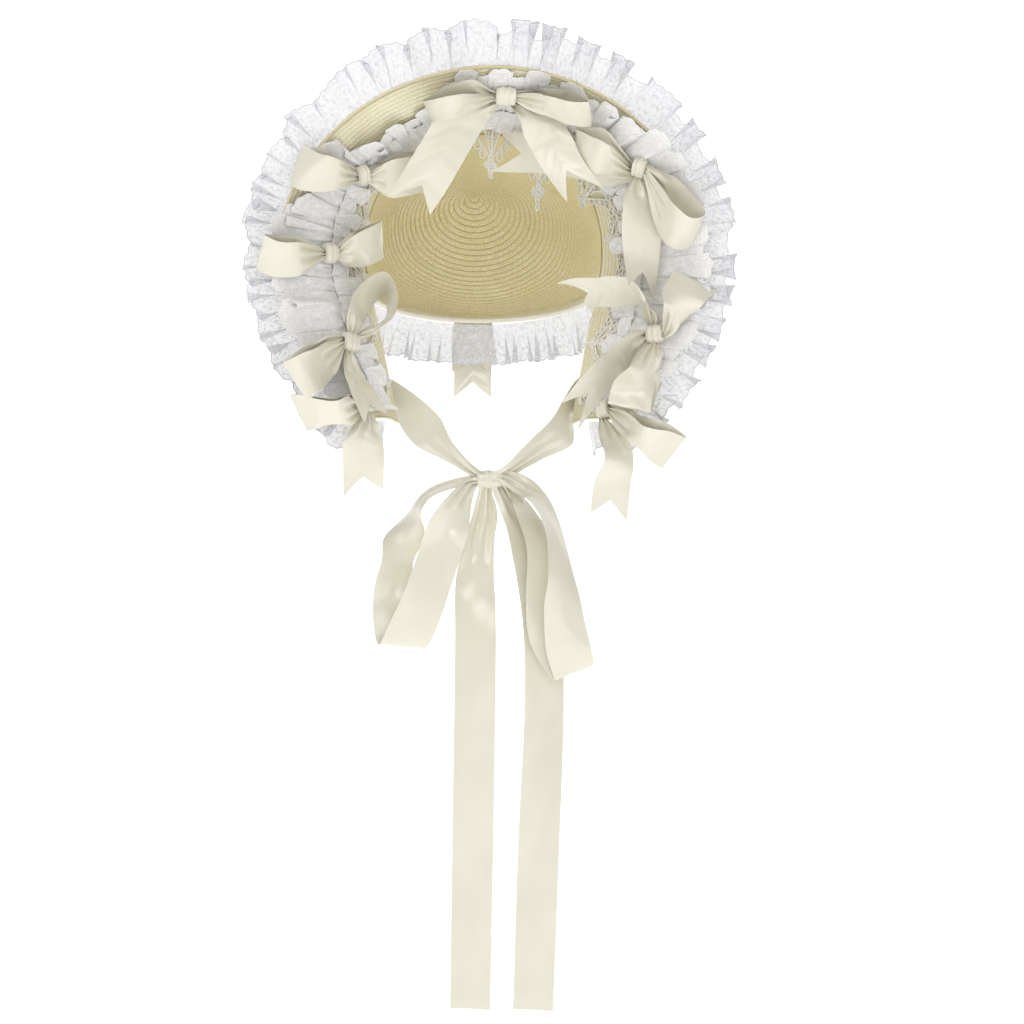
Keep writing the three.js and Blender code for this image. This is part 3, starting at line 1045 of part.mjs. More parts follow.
addPiece("straw_brim", brimSolid(), STRAW_FINISH);
addPiece("straw_crown", crownSolid(), STRAW_FINISH);
addPiece("nape_binding", bindingSolid(), SATIN_FINISH);
addPiece("nape_frill", napeFrillSolid(), LACE_FINISH);
addPiece("edge_frill", edgeFrillSolid(), LACE_FINISH);
addPiece("outward_frill", outwardFrillSolid(), LACE_FINISH);
addPiece("inward_frill", inwardFrillSolid(), LACE_FINISH);
addPiece("guipure_edging", piercedSolid(gridOf(GUIPURE_CELLS, 2, guipurePoint), LACE), GUIPURE_FINISH);
for (const [name, ribbon] of Object.entries(RIBBONS)) {
  addPiece(name, ribbonSolid(ribbon), SATIN_FINISH);
}
for (const knot of BRIM_KNOTS) addPiece(knot.name, brimKnotSolid(knot), SATIN_FINISH);
for (const { name, x, y, z, long, wide, deep } of FREE_KNOTS) {
  const ways = [new THREE.Vector3(1, 0, 0), new THREE.Vector3(0, 0, 1)];
  addPiece(name, knotSolid(new THREE.Vector3(x, y, z), ...ways, { long, wide, deep }), SATIN_FINISH);
}

export default bonnet;
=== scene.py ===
import math

import bpy
import numpy as np
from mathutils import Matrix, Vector


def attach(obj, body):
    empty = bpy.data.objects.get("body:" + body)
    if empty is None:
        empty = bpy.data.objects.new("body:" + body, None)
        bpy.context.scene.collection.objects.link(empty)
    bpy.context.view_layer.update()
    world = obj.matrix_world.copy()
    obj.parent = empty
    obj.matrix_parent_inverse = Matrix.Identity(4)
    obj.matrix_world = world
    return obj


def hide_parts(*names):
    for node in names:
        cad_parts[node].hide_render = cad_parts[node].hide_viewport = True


# A straw poke bonnet with lace frills, guipure, satin bows and chin ribbons.
# The shapes are worked out in millimetres above the bonnet's own level and put into the frame at the end.

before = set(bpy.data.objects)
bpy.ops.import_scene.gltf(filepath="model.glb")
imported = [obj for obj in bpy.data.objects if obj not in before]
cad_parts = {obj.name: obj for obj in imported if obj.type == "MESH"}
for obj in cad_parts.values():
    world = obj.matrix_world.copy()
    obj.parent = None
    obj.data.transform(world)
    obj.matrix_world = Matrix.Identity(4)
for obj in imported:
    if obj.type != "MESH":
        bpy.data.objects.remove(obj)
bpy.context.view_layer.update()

MM = 0.001
HEAD_SEAT = np.array([0.0, 80.0, 92.0])
STRAW = 2.0
RIBBON_WIDTH = 30.0
LAST_STATION = 8
CORNER_STATION = 5.5

# Brim stations from the middle of the top to a cheek's end: the seam's x y z, then the front edge's x y z
STATIONS = np.array([
    (0, 58, 95, 0, -40, 127),
    (31, 59, 91, 48, -37, 120),
    (58, 62, 77, 92, -28, 101),
    (79, 65, 54, 127, -17, 71),
    (90, 68, 25, 149, -6, 34),
    (91, 70, -7, 155, 1, -7),
    (83, 70, -43, 148, 6, -48),
    (74, 66, -85, 128, 11, -89),
    (66, 60, -126, 100, 17, -126),
], float)
BRIM_FLARE = 7
CROWN_TIP = np.array([0.0, 165.0, 60.0])
CROWN_SQUARENESS = 2.4
# The crown's rim in sectors: an arch along the brim's seam, then the nape from one corner to the other
ARCH_SECTORS = 24
NAPE_SECTORS = 12
ALL_SECTORS = ARCH_SECTORS + NAPE_SECTORS
TOP_SECTOR = ARCH_SECTORS / 2
SEAM_GAP = 0.7
NAPE_BULGE = 60
NAPE_DROP = 18
# The oval that the crown rounds off to behind its rim: its middle, half sizes and how far its top leans back
OVAL_MIDDLE = np.array([0.0, 94.0, 24.0])
OVAL_WIDE = 88
OVAL_TALL = 66
OVAL_LEAN = 34
CROWN_INSIDE = np.array([0, 60, 30])

# Where a bow presses the inner frills flat: station, reach and how much
PRESSED = np.array([
    (-7.5, 0.6, 0.75), (-6.6, 0.75, 0.75), (-4.9, 0.85, 0.75), (-3.3, 0.9, 0.75),
    (0, 2.1, 0.92), (3.3, 1.0, 0.75), (6.4, 0.9, 0.75), (7.6, 0.6, 0.75),
    (-3.9, 0.6, 0.7), (5.4, 0.5, 0.7),
])

# Guipure: station, shares of the brim's width where it starts and ends, and how far it hangs below
GUIPURE_ROWS = np.array([
    (-7.8, 0.46, 0.1, 0), (-4.5, 0.46, 0.06, 0), (-2.6, 0.44, 0.02, 6), (0, 0.34, 0.0, 22),
    (1.2, 0.34, 0.0, 36), (2.6, 0.4, 0.0, 12), (4.5, 0.46, 0.12, 0), (7.8, 0.46, 0.12, 0),
], float)

# Ribbons: the depth of a tail's notch, then a row for each section: x y z, turn and tilt in degrees, and the
# width where it isn't the full one
RIBBONS = {
    "chin_tail_left": (0, [
        (-2.8, 28.7, -175.7, 0, 46, 12), (-2, 37.8, -194, 0, 20, 20), (-6.3, 36.2, -218.9, -4, 23, 25),
        (-9.9, 34.5, -244.5, 3, 12), (-9.8, 30.5, -290.2, 0, -6, 30.8), (-11.5, 28.7, -410.2, 0, -6, 30.8),
        (-14.2, 26.9, -566.7, -3, -5)]),
    "chin_tail_right": (0, [
        (7.2, 27.1, -175.9, 0, 45, 13), (23.9, 28.3, -205.3, 11, 41), (37.9, 27.9, -259.5, 3, 12),
        (41.9, 26.5, -327.8, 0, 7), (37.1, 24, -447.7, 0, -6, 30.8), (32.8, 22.4, -567.4, -3, -5)]),
    "chin_loop_left": (0, [
        (-10.1, 27.6, -168.6, -100, -62, 13), (-43.2, 31.7, -179, -105, -69, 22),
        (-56.6, 34, -197.4, -4, -69), (-67.5, 34, -227.4, -5, 33), (-71.3, 32.4, -259.6, -1, -5, 30.8),
        (-69.6, 29.2, -284.6, -8, -5, 33.2), (-65.4, 23.8, -294, -5, -5, 34.5),
        (-57.9, 18, -279.6, -2, -5, 36.5), (-46.9, 15, -252, 0, -5, 33.5), (-35.4, 13.9, -217.8, 0, -6, 32.7),
        (-27.4, 16.1, -193.6, -5, 29), (-13.9, 25.1, -172.5, -21, 36, 13)]),
    "chin_loop_right": (0, [
        (12.6, 25.3, -172.1, 47, 57, 13), (25, 24.1, -190.2, 11, 59), (39.2, 22.8, -221, 0, 38),
        (40.2, 21.7, -260.4, -5, 26), (46.2, 18.1, -293.6, 0, -6, 30.7), (61.7, 11.6, -314.6, 22, -5, 30.5),
        (57.7, 6.9, -296, 3, -5, 33.5), (53.8, 5.3, -268.4, 0, 9), (51.9, 5.5, -240.9, 0, 44),
        (46.6, 8, -206.7, 6, 59), (34.4, 13.2, -182.1, 21, 57), (11.7, 22.7, -167.9, 71, 43, 13)]),
    "chin_strap_left": (0, [
        (-80.2, 52.9, -103.8, -73, -5, 28.3), (-75.2, 62.6, -104.9, -78, -8, 28.6),
        (-71.6, 73.5, -104.7, -83, -12, 29.2), (-46.8, 60.2, -129.6, -120, 14),
        (-30.8, 42.6, -147.5, -130, 52, 24), (-11.8, 27.4, -164, -134, 56, 13)]),
    "chin_strap_right": (0, [
        (80.2, 52.9, -103.8, -107, -5, 28.3), (75.2, 62.6, -104.9, -102, -8, 28.6),
        (71.6, 73.5, -104.7, -97, -12, 29.2), (58.9, 50, -131.2, -60, 25), (38, 35.9, -146, -50, 46, 24),
        (15, 25, -163, -43, 54, 13)]),
    "upper_left_bow_loop_left": (0, [
        (-100.7, 7.9, 57.1, -88, 50, 7.9), (-117.4, -18.1, 53.6, -90, 49),
        (-137.3, -19.2, 56.5, -107, 2, 30.3), (-143.8, -18.6, 58.6, -109, 2, 30.8),
        (-132.7, -26.7, 51.5, -114, 23), (-113.5, -24.5, 50.6, -87, 53), (-99.2, 8.5, 53.6, -88, 50, 7.9)]),
    "upper_left_bow_loop_right": (0, [
        (-92, 16.3, 57.5, -87, 51, 8), (-74.9, 19.8, 57.6, -88, 37), (-61.3, 23.7, 59.9, -90, 19),
        (-48.3, 28.5, 61.1, -89, 22), (-62, 16.7, 55.5, -91, 23), (-75.9, 13.9, 53.1, -91, 38),
        (-90.4, 17.4, 54.2, -87, 51, 9)]),
    "mid_left_bow_loop_left": (0, [
        (-125.1, 14.7, -0.4, -90, 6, 5.2), (-143, -13.8, -6.2, -86, 39), (-162.2, -11.9, -6.2, -98, 28),
        (-170.2, -14.8, -5.1, -105, 37), (-158.3, -19.3, -10.9, -100, 36), (-141.6, -20, -10.5, -85, 43),
        (-123.6, 12.6, -3.9, -97, -1, 6)]),
    "mid_left_bow_loop_right": (0, [
        (-115.4, 23.1, -0.1, -90, 6, 5.2), (-99.6, 25.8, 2.9, -85, 42), (-87.5, 30.6, 7, -88, 23),
        (-79.1, 35.8, 10.3, -87, 26), (-88.9, 23.7, 4.3, -89, 27), (-100.9, 19.9, -0.3, -87, 44),
        (-113.6, 21.5, -3.5, -90, 6, 5.9)]),
    "jaw_left_bow_loop": (0, [
        (-96.2, 16.1, -112, -91, -19, 5.6), (-111, -10.4, -120.2, -75, 49), (-125.5, -9, -120.2, -67, 47),
        (-134.9, -3.9, -120.4, -65, 34), (-142.9, 2.9, -120.9, -66, 7), (-132.1, -10.2, -121, -62, 34),
        (-124.2, -15.2, -121.2, -65, 50), (-110, -15.5, -121.1, -76, 53),
        (-95.3, 12, -114.7, -91, -19, 5.6)]),
    "jaw_left_bow_tail": (13, [
        (-91.4, 15.9, -120.1, 2, 34, 8.2), (-94.7, 7.7, -140.8, 0, 19), (-94.5, 13.7, -162.9, 0, -6, 30.4),
        (-94.3, 19.8, -180.2, 10, 5)]),
    "low_left_bow_loop_left": (0, [
        (-110.8, 19.4, -65.8, -90, -17, 5.5), (-125.4, -4.2, -79.7, -69, 43), (-137.3, -20.7, -90.3, -65, 15),
        (-145.3, -24.2, -99.9, -59, -3, 33.8), (-136, -27.9, -93.9, -59, 11), (-123.4, -10.4, -84.5, -60, 38),
        (-109.1, 15.8, -70, -90, -17, 6.3)]),
    "low_left_bow_loop_up": (0, [
        (-103.8, 26.7, -60.2, 4, 40, 7), (-98.9, 25.4, -46.3, -35, 58), (-94, 26, -35.4, -50, 56),
        (-78.6, 37.9, -21.8, -83, 60), (-72.1, 40.5, -32.8, -125, 68), (-73.9, 34.5, -46.9, -159, 74),
        (-83.8, 29.6, -56.3, -243, 78, 24), (-97, 27.6, -61.4, -279, 22, 5.9)]),
    "low_left_bow_tail": (10, [
        (-105.6, 20.5, -75.1, 3, 40, 7.9), (-102, 10.4, -91.9, 12, 62), (-94, 5.5, -107.3, 16, 52),
        (-84.7, 6.9, -126, 22, 48)]),
    "jaw_right_bow_loop": (0, [
        (91, 18, -115.6, -100, -14, 5.5), (103.4, -7.4, -131.1, -101, 49), (116.6, -8.6, -136.2, -105, 44),
        (128.9, 9.8, -142, -118, 21), (139.2, 14.8, -149.7, -127, 19), (126.1, 4, -144.8, -123, 34),
        (113.1, -14.3, -140.5, -110, 57), (101.9, -12.2, -134.2, -102, 56),
        (89.2, 14.5, -118.6, -100, -14, 5.5)]),
    "jaw_right_bow_tail": (13, [
        (85.4, 18.3, -124.2, -8, -38, 7.9), (91.3, -24, -151.5, -7, 37), (87.4, -17.6, -173.4, -6, 19),
        (85.3, -11.4, -197.7, -12, 16)]),
    "low_right_bow_tail_low": (13, [
        (117.4, 15.4, -61.4, -91, -9, 6.9), (104.2, 3.6, -72.2, -72, 45), (93.8, 4.6, -84.5, -52, 35),
        (78.9, 5.3, -97.2, -50, 38), (58.1, 9.7, -123.5, -54, 34)]),
    "low_right_bow_loop_down": (0, [
        (123, 10.9, -68.2, -2, -32, 7.3), (115.8, -4.5, -84.2, 7, 40), (107.4, -0.3, -104, 3, -5, 32.7),
        (101.1, -10.2, -117.9, -13, -5, 32.6), (103.6, -8, -104.4, -14, -5, 31.2),
        (110.6, -11.1, -88.3, -12, 45), (122.1, 8.2, -67.9, -2, -32, 5.7)]),
    "low_right_bow_loop_right": (0, [
        (130.5, 8.4, -57.5, -92, -9, 5.4), (137.7, -7.9, -40.5, -25, 34), (144.5, -7.5, -30, -25, -5, 31.2),
        (151.8, -2.2, -22, -27, -5, 36), (141, -15.2, -33.7, -22, -5, 31.8), (133.2, -14.5, -46.3, -30, 47),
        (128.9, 4.9, -61.7, -92, -9, 6.1)]),
    "low_right_bow_tail_high": (12, [
        (122.2, 13.7, -53.5, -2, -32, 7.4), (117.9, 4.4, -40.4, -29, 56, 22), (108.3, 5.6, -30.6, -63, 52),
        (91.3, 13.3, -29.3, -84, 45), (77.1, 20.7, -29.2, -76, 46), (62.5, 28.1, -30.5, -35, 13)]),
    "upper_right_bow_tail_high": (14, [
        (104.5, 3.7, 56.6, -70, 32, 6.8), (85.4, 3.4, 61.2, -85, 42), (60.2, 11.9, 69.6, -83, 32),
        (35.2, 20.3, 74.2, -83, 25), (5.2, 26, 76.5, -101, 6)]),
    "upper_right_bow_loop_left": (0, [
        (104.4, -1.9, 62.7, -83, 41, 7), (83.4, -16.8, 74.9, -80, 48), (70.4, -13.8, 74.4, -84, 30),
        (61.6, -6.9, 75.3, -84, 24), (70.9, -21.9, 68.1, -83, 36), (84.6, -23.9, 64.3, -74, 51),
        (102.9, -2.2, 59.3, -83, 41, 7)]),
    "upper_right_bow_tail_low": (14, [
        (108.9, 0.6, 55.7, -5, -36, 6.7), (109.7, -4.7, 36.7, 3, 27), (111.2, -2.3, 12.5, 3, 9),
        (112.1, 3.6, -9.2, -6, 23), (110.1, -7.3, -32.2, -24, 39)]),
    "upper_right_bow_loop_right": (0, [
        (114.9, -8.4, 60.7, -82, 40, 7), (129.8, -14.8, 43, -107, 55), (142, -16, 29, -107, 44),
        (151.2, -14.4, 14.5, -112, 32), (136.7, -27.6, 11, -120, 40), (124.7, -23.4, 24.2, -116, 53),
        (113.6, -8.2, 57.2, -82, 40, 5.3)]),
    "top_bow_tail_left": (16, [
        (3.5, -16.9, 106.7, -5, 5, 6), (-20.1, -14.8, 98.3, -18, -5, 33.1),
        (-33.9, -7.4, 76.8, -30, -5, 33.9), (-47.8, -0.1, 53.4, -29, -5, 34.7),
        (-61.2, 5.3, 32.2, -23, -5, 33.8)]),
    "top_bow_tail_right": (16, [
        (13.3, -17.1, 106.5, 6, -15, 6), (30.2, -19.6, 96.8, 16, 27), (40.7, -14.6, 80.5, 9, -5, 32.7),
        (51.1, -14.7, 61.2, 14, -5, 30.3), (67.5, -16.1, 38.7, 22, 7)]),
    "top_bow_loop_left": (0, [
        (-0.9, -22.7, 110.8, -70, 60, 8.3), (-17.3, -39.1, 109.1, -74, 62), (-36.3, -37.3, 103, -72, 60),
        (-49.6, -30, 96.4, -50, 62), (-38.7, -45.1, 95.9, -54, 62), (-22.5, -45.7, 100, -56, 68),
        (-1, -24.5, 107.9, -69, 60, 7.1)]),
    "top_bow_loop_right": (0, [
        (16.7, -24.3, 110.6, -79, 62, 8.2), (36.5, -36.1, 105.1, -68, 65), (54.2, -31.4, 104, -67, 62),
        (68, -38.8, 95, -70, 59), (52.4, -40.2, 95.2, -73, 63), (35.4, -43, 99.6, -68, 69),
        (16.6, -25.9, 108, -79, 62, 7.1)]),
    "back_bow_tail_under": (10, [
        (-3, 161.5, -28.5, 0, 0, 10), (-3.5, 155, -42, 2, 0, 27), (-4, 152, -62, 3, 0),
        (-4, 151, -82, 2, 0)]),
    "back_bow_tail_over": (13, [
        (3, 164.5, -28.6, 0, 0, 10), (0.5, 159, -44, -1, 0, 28), (-1, 157, -66, -2, 0), (-2, 156, -86, -2, 0),
        (-2, 155, -102, 0, 0)]),
    "back_bow_loop_left": (0, [
        (-6.8, 161.2, -20, 90, 0, 10), (-22, 159.1, -21, 90, 0, 27), (-38, 155.8, -23, 94, 0),
        (-46, 156.4, -24, 95, 0), (-38, 162.8, -23, 94, 0), (-22, 165.4, -21, 90, 0, 27),
        (-6.8, 164.7, -20, 90, 0, 10)]),
    "back_bow_loop_right": (0, [
        (6.8, 161.2, -20, 90, 0, 10), (22, 159.1, -21, 90, 0, 27), (38, 155.8, -23, 86, 0),
        (46, 156.4, -24, 85, 0), (38, 162.8, -23, 86, 0), (22, 165.4, -21, 90, 0, 27),
        (6.8, 164.7, -20, 90, 0, 10)]),
}
# Knots on the brim: station, share of the brim's width, then how long, wide and deep
BRIM_KNOTS = {
    "upper_left_bow_knot": (-2.95, 0.55, 9.2, 15, 11),
    "mid_left_bow_knot": (-4.83, 0.6, 11.5, 15, 10.8),
    "jaw_left_bow_knot": (-7.76, 0.78, 8.3, 13.8, 8.8),
    "low_left_bow_knot": (-6.6, 0.6, 13.1, 14.3, 11),
    "jaw_right_bow_knot": (7.86, 0.71, 10.1, 15, 9.8),
    "low_right_bow_knot": (6.38, 0.81, 13.5, 14, 9.4),
    "upper_right_bow_knot": (2.96, 0.78, 10.2, 15, 10),
    "top_bow_knot": (0.19, 0.79, 15.4, 15, 10.8),
}
# Knots away from the brim: x y z of the middle, then how long, wide and deep
FREE_KNOTS = {
    "chin_knot": (0.7, 25.5, -169.3, 20.4, 13, 9),
    "back_bow_knot": (0, 163, -20, 12.8, 16.2, 8),
}


# Vectors, tables and curves
def unit(v):
    return v / np.maximum(np.linalg.norm(v, axis=-1, keepdims=True), 1e-9)


def lerp(a, b, t):
    return a + (b - a) * t


def catmull(p0, p1, p2, p3, t):
    curve = 2 * p1 + (p2 - p0) * t + (2 * p0 - 5 * p1 + 4 * p2 - p3) * t * t
    return 0.5 * (curve + (3 * p1 - p0 - 3 * p2 + p3) * t ** 3)


def uneven(x, seed):
    """A smooth irregular wave of x, between about -1 and 1, the same each run."""
    total = 0
    for k, weight in ((1, 0.5), (2.3, 0.3), (4.7, 0.2)):
        total = total + weight * np.sin(k * x + seed * (1.7 + k))
    return total


def smooth(low, high, x):
    t = np.clip((x - low) / (high - low), 0, 1)
    return t * t * (3 - 2 * t)


# The brim and the crown as surfaces. Nudges are the small steps that their directions are worked out with, and
# the edges are shares of the crown's depth and the brim's width.
NUDGE = 0.02
SHARE_NUDGE = 0.01
SECTOR_NUDGE = 0.1
LEAST_SHARE = 0.004
NEAR_EDGE = 0.97
ABOVE_EDGE = 6 / 7
STATION_ROWS = np.vstack([STATIONS[1] * [-1, 1, 1, -1, 1, 1], STATIONS, 2 * STATIONS[-1] - STATIONS[-2]])


def station_pair(at):
    at = np.asarray(at, float)
    size = np.minimum(np.abs(at), LAST_STATION)
    low = np.minimum(np.floor(size), LAST_STATION - 1).astype(int)
    t = (size - low)[..., None]
    row = catmull(*(STATION_ROWS[low + k] for k in range(4)), t)
    side = np.where(at < 0, -1.0, 1.0)
    row[..., 0] *= side
    row[..., 3] *= side
    return row[..., :3], row[..., 3:]


def brim_face(at, share):
    at, share = np.broadcast_arrays(np.asarray(at, float), np.asarray(share, float))
    seam, edge = station_pair(at)
    along = station_pair(at + NUDGE)[1] - station_pair(at - NUDGE)[1]
    inward = unit(np.cross(along, edge - seam))
    inward = np.where(inward[..., 1:2] > 0, -inward, inward)
    s = share[..., None]
    return seam + (edge - seam) * s + inward * BRIM_FLARE * np.sin(np.pi * s)


def inside_brim(at):
    return np.clip(at, -LAST_STATION + NUDGE, LAST_STATION - NUDGE)


def brim_normal(at, share):
    inside = inside_brim(at)
    along = brim_face(inside + NUDGE, share) - brim_face(inside - NUDGE, share)
    across = brim_face(inside, share + NUDGE) - brim_face(inside, share - NUDGE)
    normal = unit(np.cross(along, across))
    return np.where(normal[..., 1:2] > 0, -normal, normal)


def brim_along(at, share):
    inside = inside_brim(at)
    return unit(brim_face(inside + NUDGE, share) - brim_face(inside - NUDGE, share))


def on_brim(at, share, height):
    at, share, height = np.broadcast_arrays(*(np.asarray(x, float) for x in (at, share, height)))
    return brim_face(at, share) + brim_normal(at, share) * height[..., None]


def edge_outward(at):
    inside = inside_brim(at)
    along = station_pair(inside + NUDGE)[1] - station_pair(inside - NUDGE)[1]
    return unit(np.stack([-along[..., 2], np.zeros_like(along[..., 0]), along[..., 0]], -1))


CORNER = station_pair(CORNER_STATION)[0]


def crown_rim(sector):
    along_arch = 2 * (np.minimum(sector, ARCH_SECTORS) / ARCH_SECTORS) - 1
    arch = station_pair(along_arch * CORNER_STATION)[0] + [0, SEAM_GAP, 0]
    turn = np.pi * (np.maximum(sector, ARCH_SECTORS) - ARCH_SECTORS) / NAPE_SECTORS
    back = np.maximum(np.sin(turn), 0)
    nape = [CORNER[0] * np.cos(turn), CORNER[1] + NAPE_BULGE * back ** 0.85, CORNER[2] - NAPE_DROP * back]
    return np.where((sector <= ARCH_SECTORS)[..., None], arch, np.stack(nape, -1))


def crown_face(sector, share):
    sector, share = np.broadcast_arrays(np.asarray(sector, float) % ALL_SECTORS, np.asarray(share, float))
    rim = crown_rim(sector)
    around = np.arctan2(rim[..., 2] - OVAL_MIDDLE[2], rim[..., 0])
    c, s = np.cos(around), np.sin(around)
    oval = OVAL_MIDDLE + np.stack([OVAL_WIDE * c, -OVAL_LEAN * s, OVAL_TALL * s], -1)
    target = oval + (rim - oval) * share[..., None] ** 3
    turn = share * np.pi / 2
    wide = np.sin(turn) ** (2 / CROWN_SQUARENESS)
    deep = 1 - np.maximum(np.cos(turn), 0) ** (2 / CROWN_SQUARENESS)
    return CROWN_TIP + (target - CROWN_TIP) * np.stack([wide, deep, wide], -1)


def crown_normal(sector, share):
    low, high = (np.clip(share + step, LEAST_SHARE, 1) for step in (-SHARE_NUDGE, SHARE_NUDGE))
    around = crown_face(sector + SECTOR_NUDGE, high) - crown_face(sector - SECTOR_NUDGE, high)
    normal = unit(np.cross(around, crown_face(sector, high) - crown_face(sector, low)))
    facing = np.sum(normal * (crown_face(sector, high) - CROWN_INSIDE), -1, keepdims=True)
    return np.where(facing < 0, -normal, normal)


def nape_wall(share, up, out):
    """A place on the crown's nape: share runs along its edge, up and out are millimetres off that edge"""
    share, up, out = np.broadcast_arrays(*(np.asarray(x, float) for x in (share, up, out)))
    sector = ARCH_SECTORS + NAPE_SECTORS * share
    edge = crown_face(sector, np.ones_like(share))
    above = unit(crown_face(sector, np.full_like(share, ABOVE_EDGE)) - edge)
    normal = crown_normal(sector, np.full_like(share, NEAR_EDGE))
    return edge + above * up[..., None] + normal * out[..., None]


# Objects and meshes
CORD_SIDES = 4


def new_object(name, data):
    obj = bpy.data.objects.new(name, data)
    bpy.context.scene.collection.objects.link(obj)
    return obj


def node_of(tree, kind):
    return next(node for node in tree.nodes if node.type == kind)


def grid_faces(rows, columns, first=0):
    i, j = np.meshgrid(np.arange(rows - 1), np.arange(columns - 1), indexing="ij")
    a = (first + i * columns + j).ravel()
    return np.stack([a, a + 1, a + columns + 1, a + columns], -1)


def build_mesh(name, points, faces, uv, shades=None):
    """points in level millimetres, faces of four corners each, uv and shades one per point"""
    mesh = bpy.data.meshes.new(name)
    count = len(faces)
    mesh.vertices.add(len(points))
    mesh.vertices.foreach_set("co", ((points - HEAD_SEAT) * MM).astype(np.float32).ravel())
    mesh.loops.add(4 * count)
    mesh.loops.foreach_set("vertex_index", faces.astype(np.int32).ravel())
    mesh.polygons.add(count)
    mesh.polygons.foreach_set("loop_start", np.arange(0, 4 * count, 4, dtype=np.int32))
    mesh.polygons.foreach_set("use_smooth", np.ones(count, bool))
    layer = mesh.uv_layers.new(name="UVMap")
    layer.data.foreach_set("uv", uv[faces.ravel()].astype(np.float32).ravel())
    for key, values in (shades or {}).items():
        shade = mesh.attributes.new(key, "FLOAT", "POINT")
        shade.data.foreach_set("value", values.astype(np.float32).ravel())
    mesh.update()
    mesh.validate()
    return new_object(name, mesh)


def finish_piece(obj, material, nodes=()):
    obj.data.materials.append(material)
    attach(obj, "root")
    if nodes:
        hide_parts(*nodes)
    return obj


def cloth(name, grid, uv, shades=None):
    """A sheet of cloth along a grid of points, rows by columns"""
    rows, columns = grid.shape[:2]
    flat_shades = {key: value.reshape(-1) for key, value in (shades or {}).items()}
    return build_mesh(name, grid.reshape(-1, 3), grid_faces(rows, columns), uv.reshape(-1, 2), flat_shades)


def flat_size(grid):
    """The width and length in metres of the cloth that a grid was gathered from, to the nearest millimetre"""
    steps = np.linalg.norm(np.diff(grid, axis=0), axis=-1)
    length = steps.sum(0).mean()
    a = grid[1:, :-1] - grid[:-1, :-1]
    b = grid[:-1, 1:] - grid[:-1, :-1]
    area = np.linalg.norm(np.cross(a, b), axis=-1).sum()
    return round(area / length * MM, 3), round(length * MM, 3)


def shell(name, grid, normal, thickness, uv, relief, ring=False):
    """A wall whose face side carries the relief; a ring's first and last rows meet and need no end walls"""
    rows, columns = grid.shape[:2]
    size = rows * columns
    face = grid + normal * relief[..., None]
    back = grid - normal * (thickness + relief[..., None])
    points = np.concatenate([face.reshape(-1, 3), back.reshape(-1, 3)])
    quads = grid_faces(rows, columns)
    first = np.arange(rows - 1) * columns
    last = first + columns - 1
    sides = [
        np.stack([first, first + size, first + columns + size, first + columns], -1),
        np.stack([last, last + columns, last + columns + size, last + size], -1),
    ]
    if not ring:
        start = np.arange(columns - 1)
        end = start + (rows - 1) * columns
        sides.append(np.stack([start, start + 1, start + 1 + size, start + size], -1))
        sides.append(np.stack([end, end + size, end + 1 + size, end + 1], -1))
    faces = np.concatenate([quads, quads[:, ::-1] + size, *sides])
    both = np.concatenate([uv.reshape(-1, 2)] * 2)
    return build_mesh(name, points, faces, both)


def tubes(name, lines, radius):
    """Cords along lines of points, in level millimetres"""
    points, faces, uv = [], [], []
    first = 0
    for line in lines:
        along = unit(np.gradient(line, axis=0))
        helper = np.where(np.abs(along[:, 1:2]) < 0.9, [[0.0, 1.0, 0.0]], [[1.0, 0.0, 0.0]])
        across = unit(np.cross(along, helper))
        up = np.cross(across, along)
        turns = np.arange(CORD_SIDES + 1) * 2 * np.pi / CORD_SIDES
        ring = across[:, None] * np.cos(turns)[None, :, None] + up[:, None] * np.sin(turns)[None, :, None]
        points.append((line[:, None] + radius * ring).reshape(-1, 3))
        travelled = np.concatenate([[0], np.cumsum(np.linalg.norm(np.diff(line, axis=0), axis=-1))])
        uv.append(np.stack(np.meshgrid(travelled, turns, indexing="ij"), -1).reshape(-1, 2))
        faces.append(grid_faces(len(line), CORD_SIDES + 1, first))
        first += len(line) * (CORD_SIDES + 1)
    return build_mesh(name, np.concatenate(points), np.concatenate(faces), np.concatenate(uv))


# Materials, worked out from each mesh's own flat coordinates in millimetres
class Value:
    """A number or a colour in a shader, with plain arithmetic"""

    def __init__(self, nodes, socket):
        self.nodes, self.socket = nodes, socket

    def __add__(self, other):
        return self.nodes.maths("ADD", self, other)

    def __sub__(self, other):
        return self.nodes.maths("SUBTRACT", self, other)

    def __rsub__(self, other):
        return self.nodes.maths("SUBTRACT", other, self)

    def __mul__(self, other):
        return self.nodes.maths("MULTIPLY", self, other)

    def __truediv__(self, other):
        return self.nodes.maths("DIVIDE", self, other)

    def __abs__(self):
        return self.nodes.maths("ABSOLUTE", self)


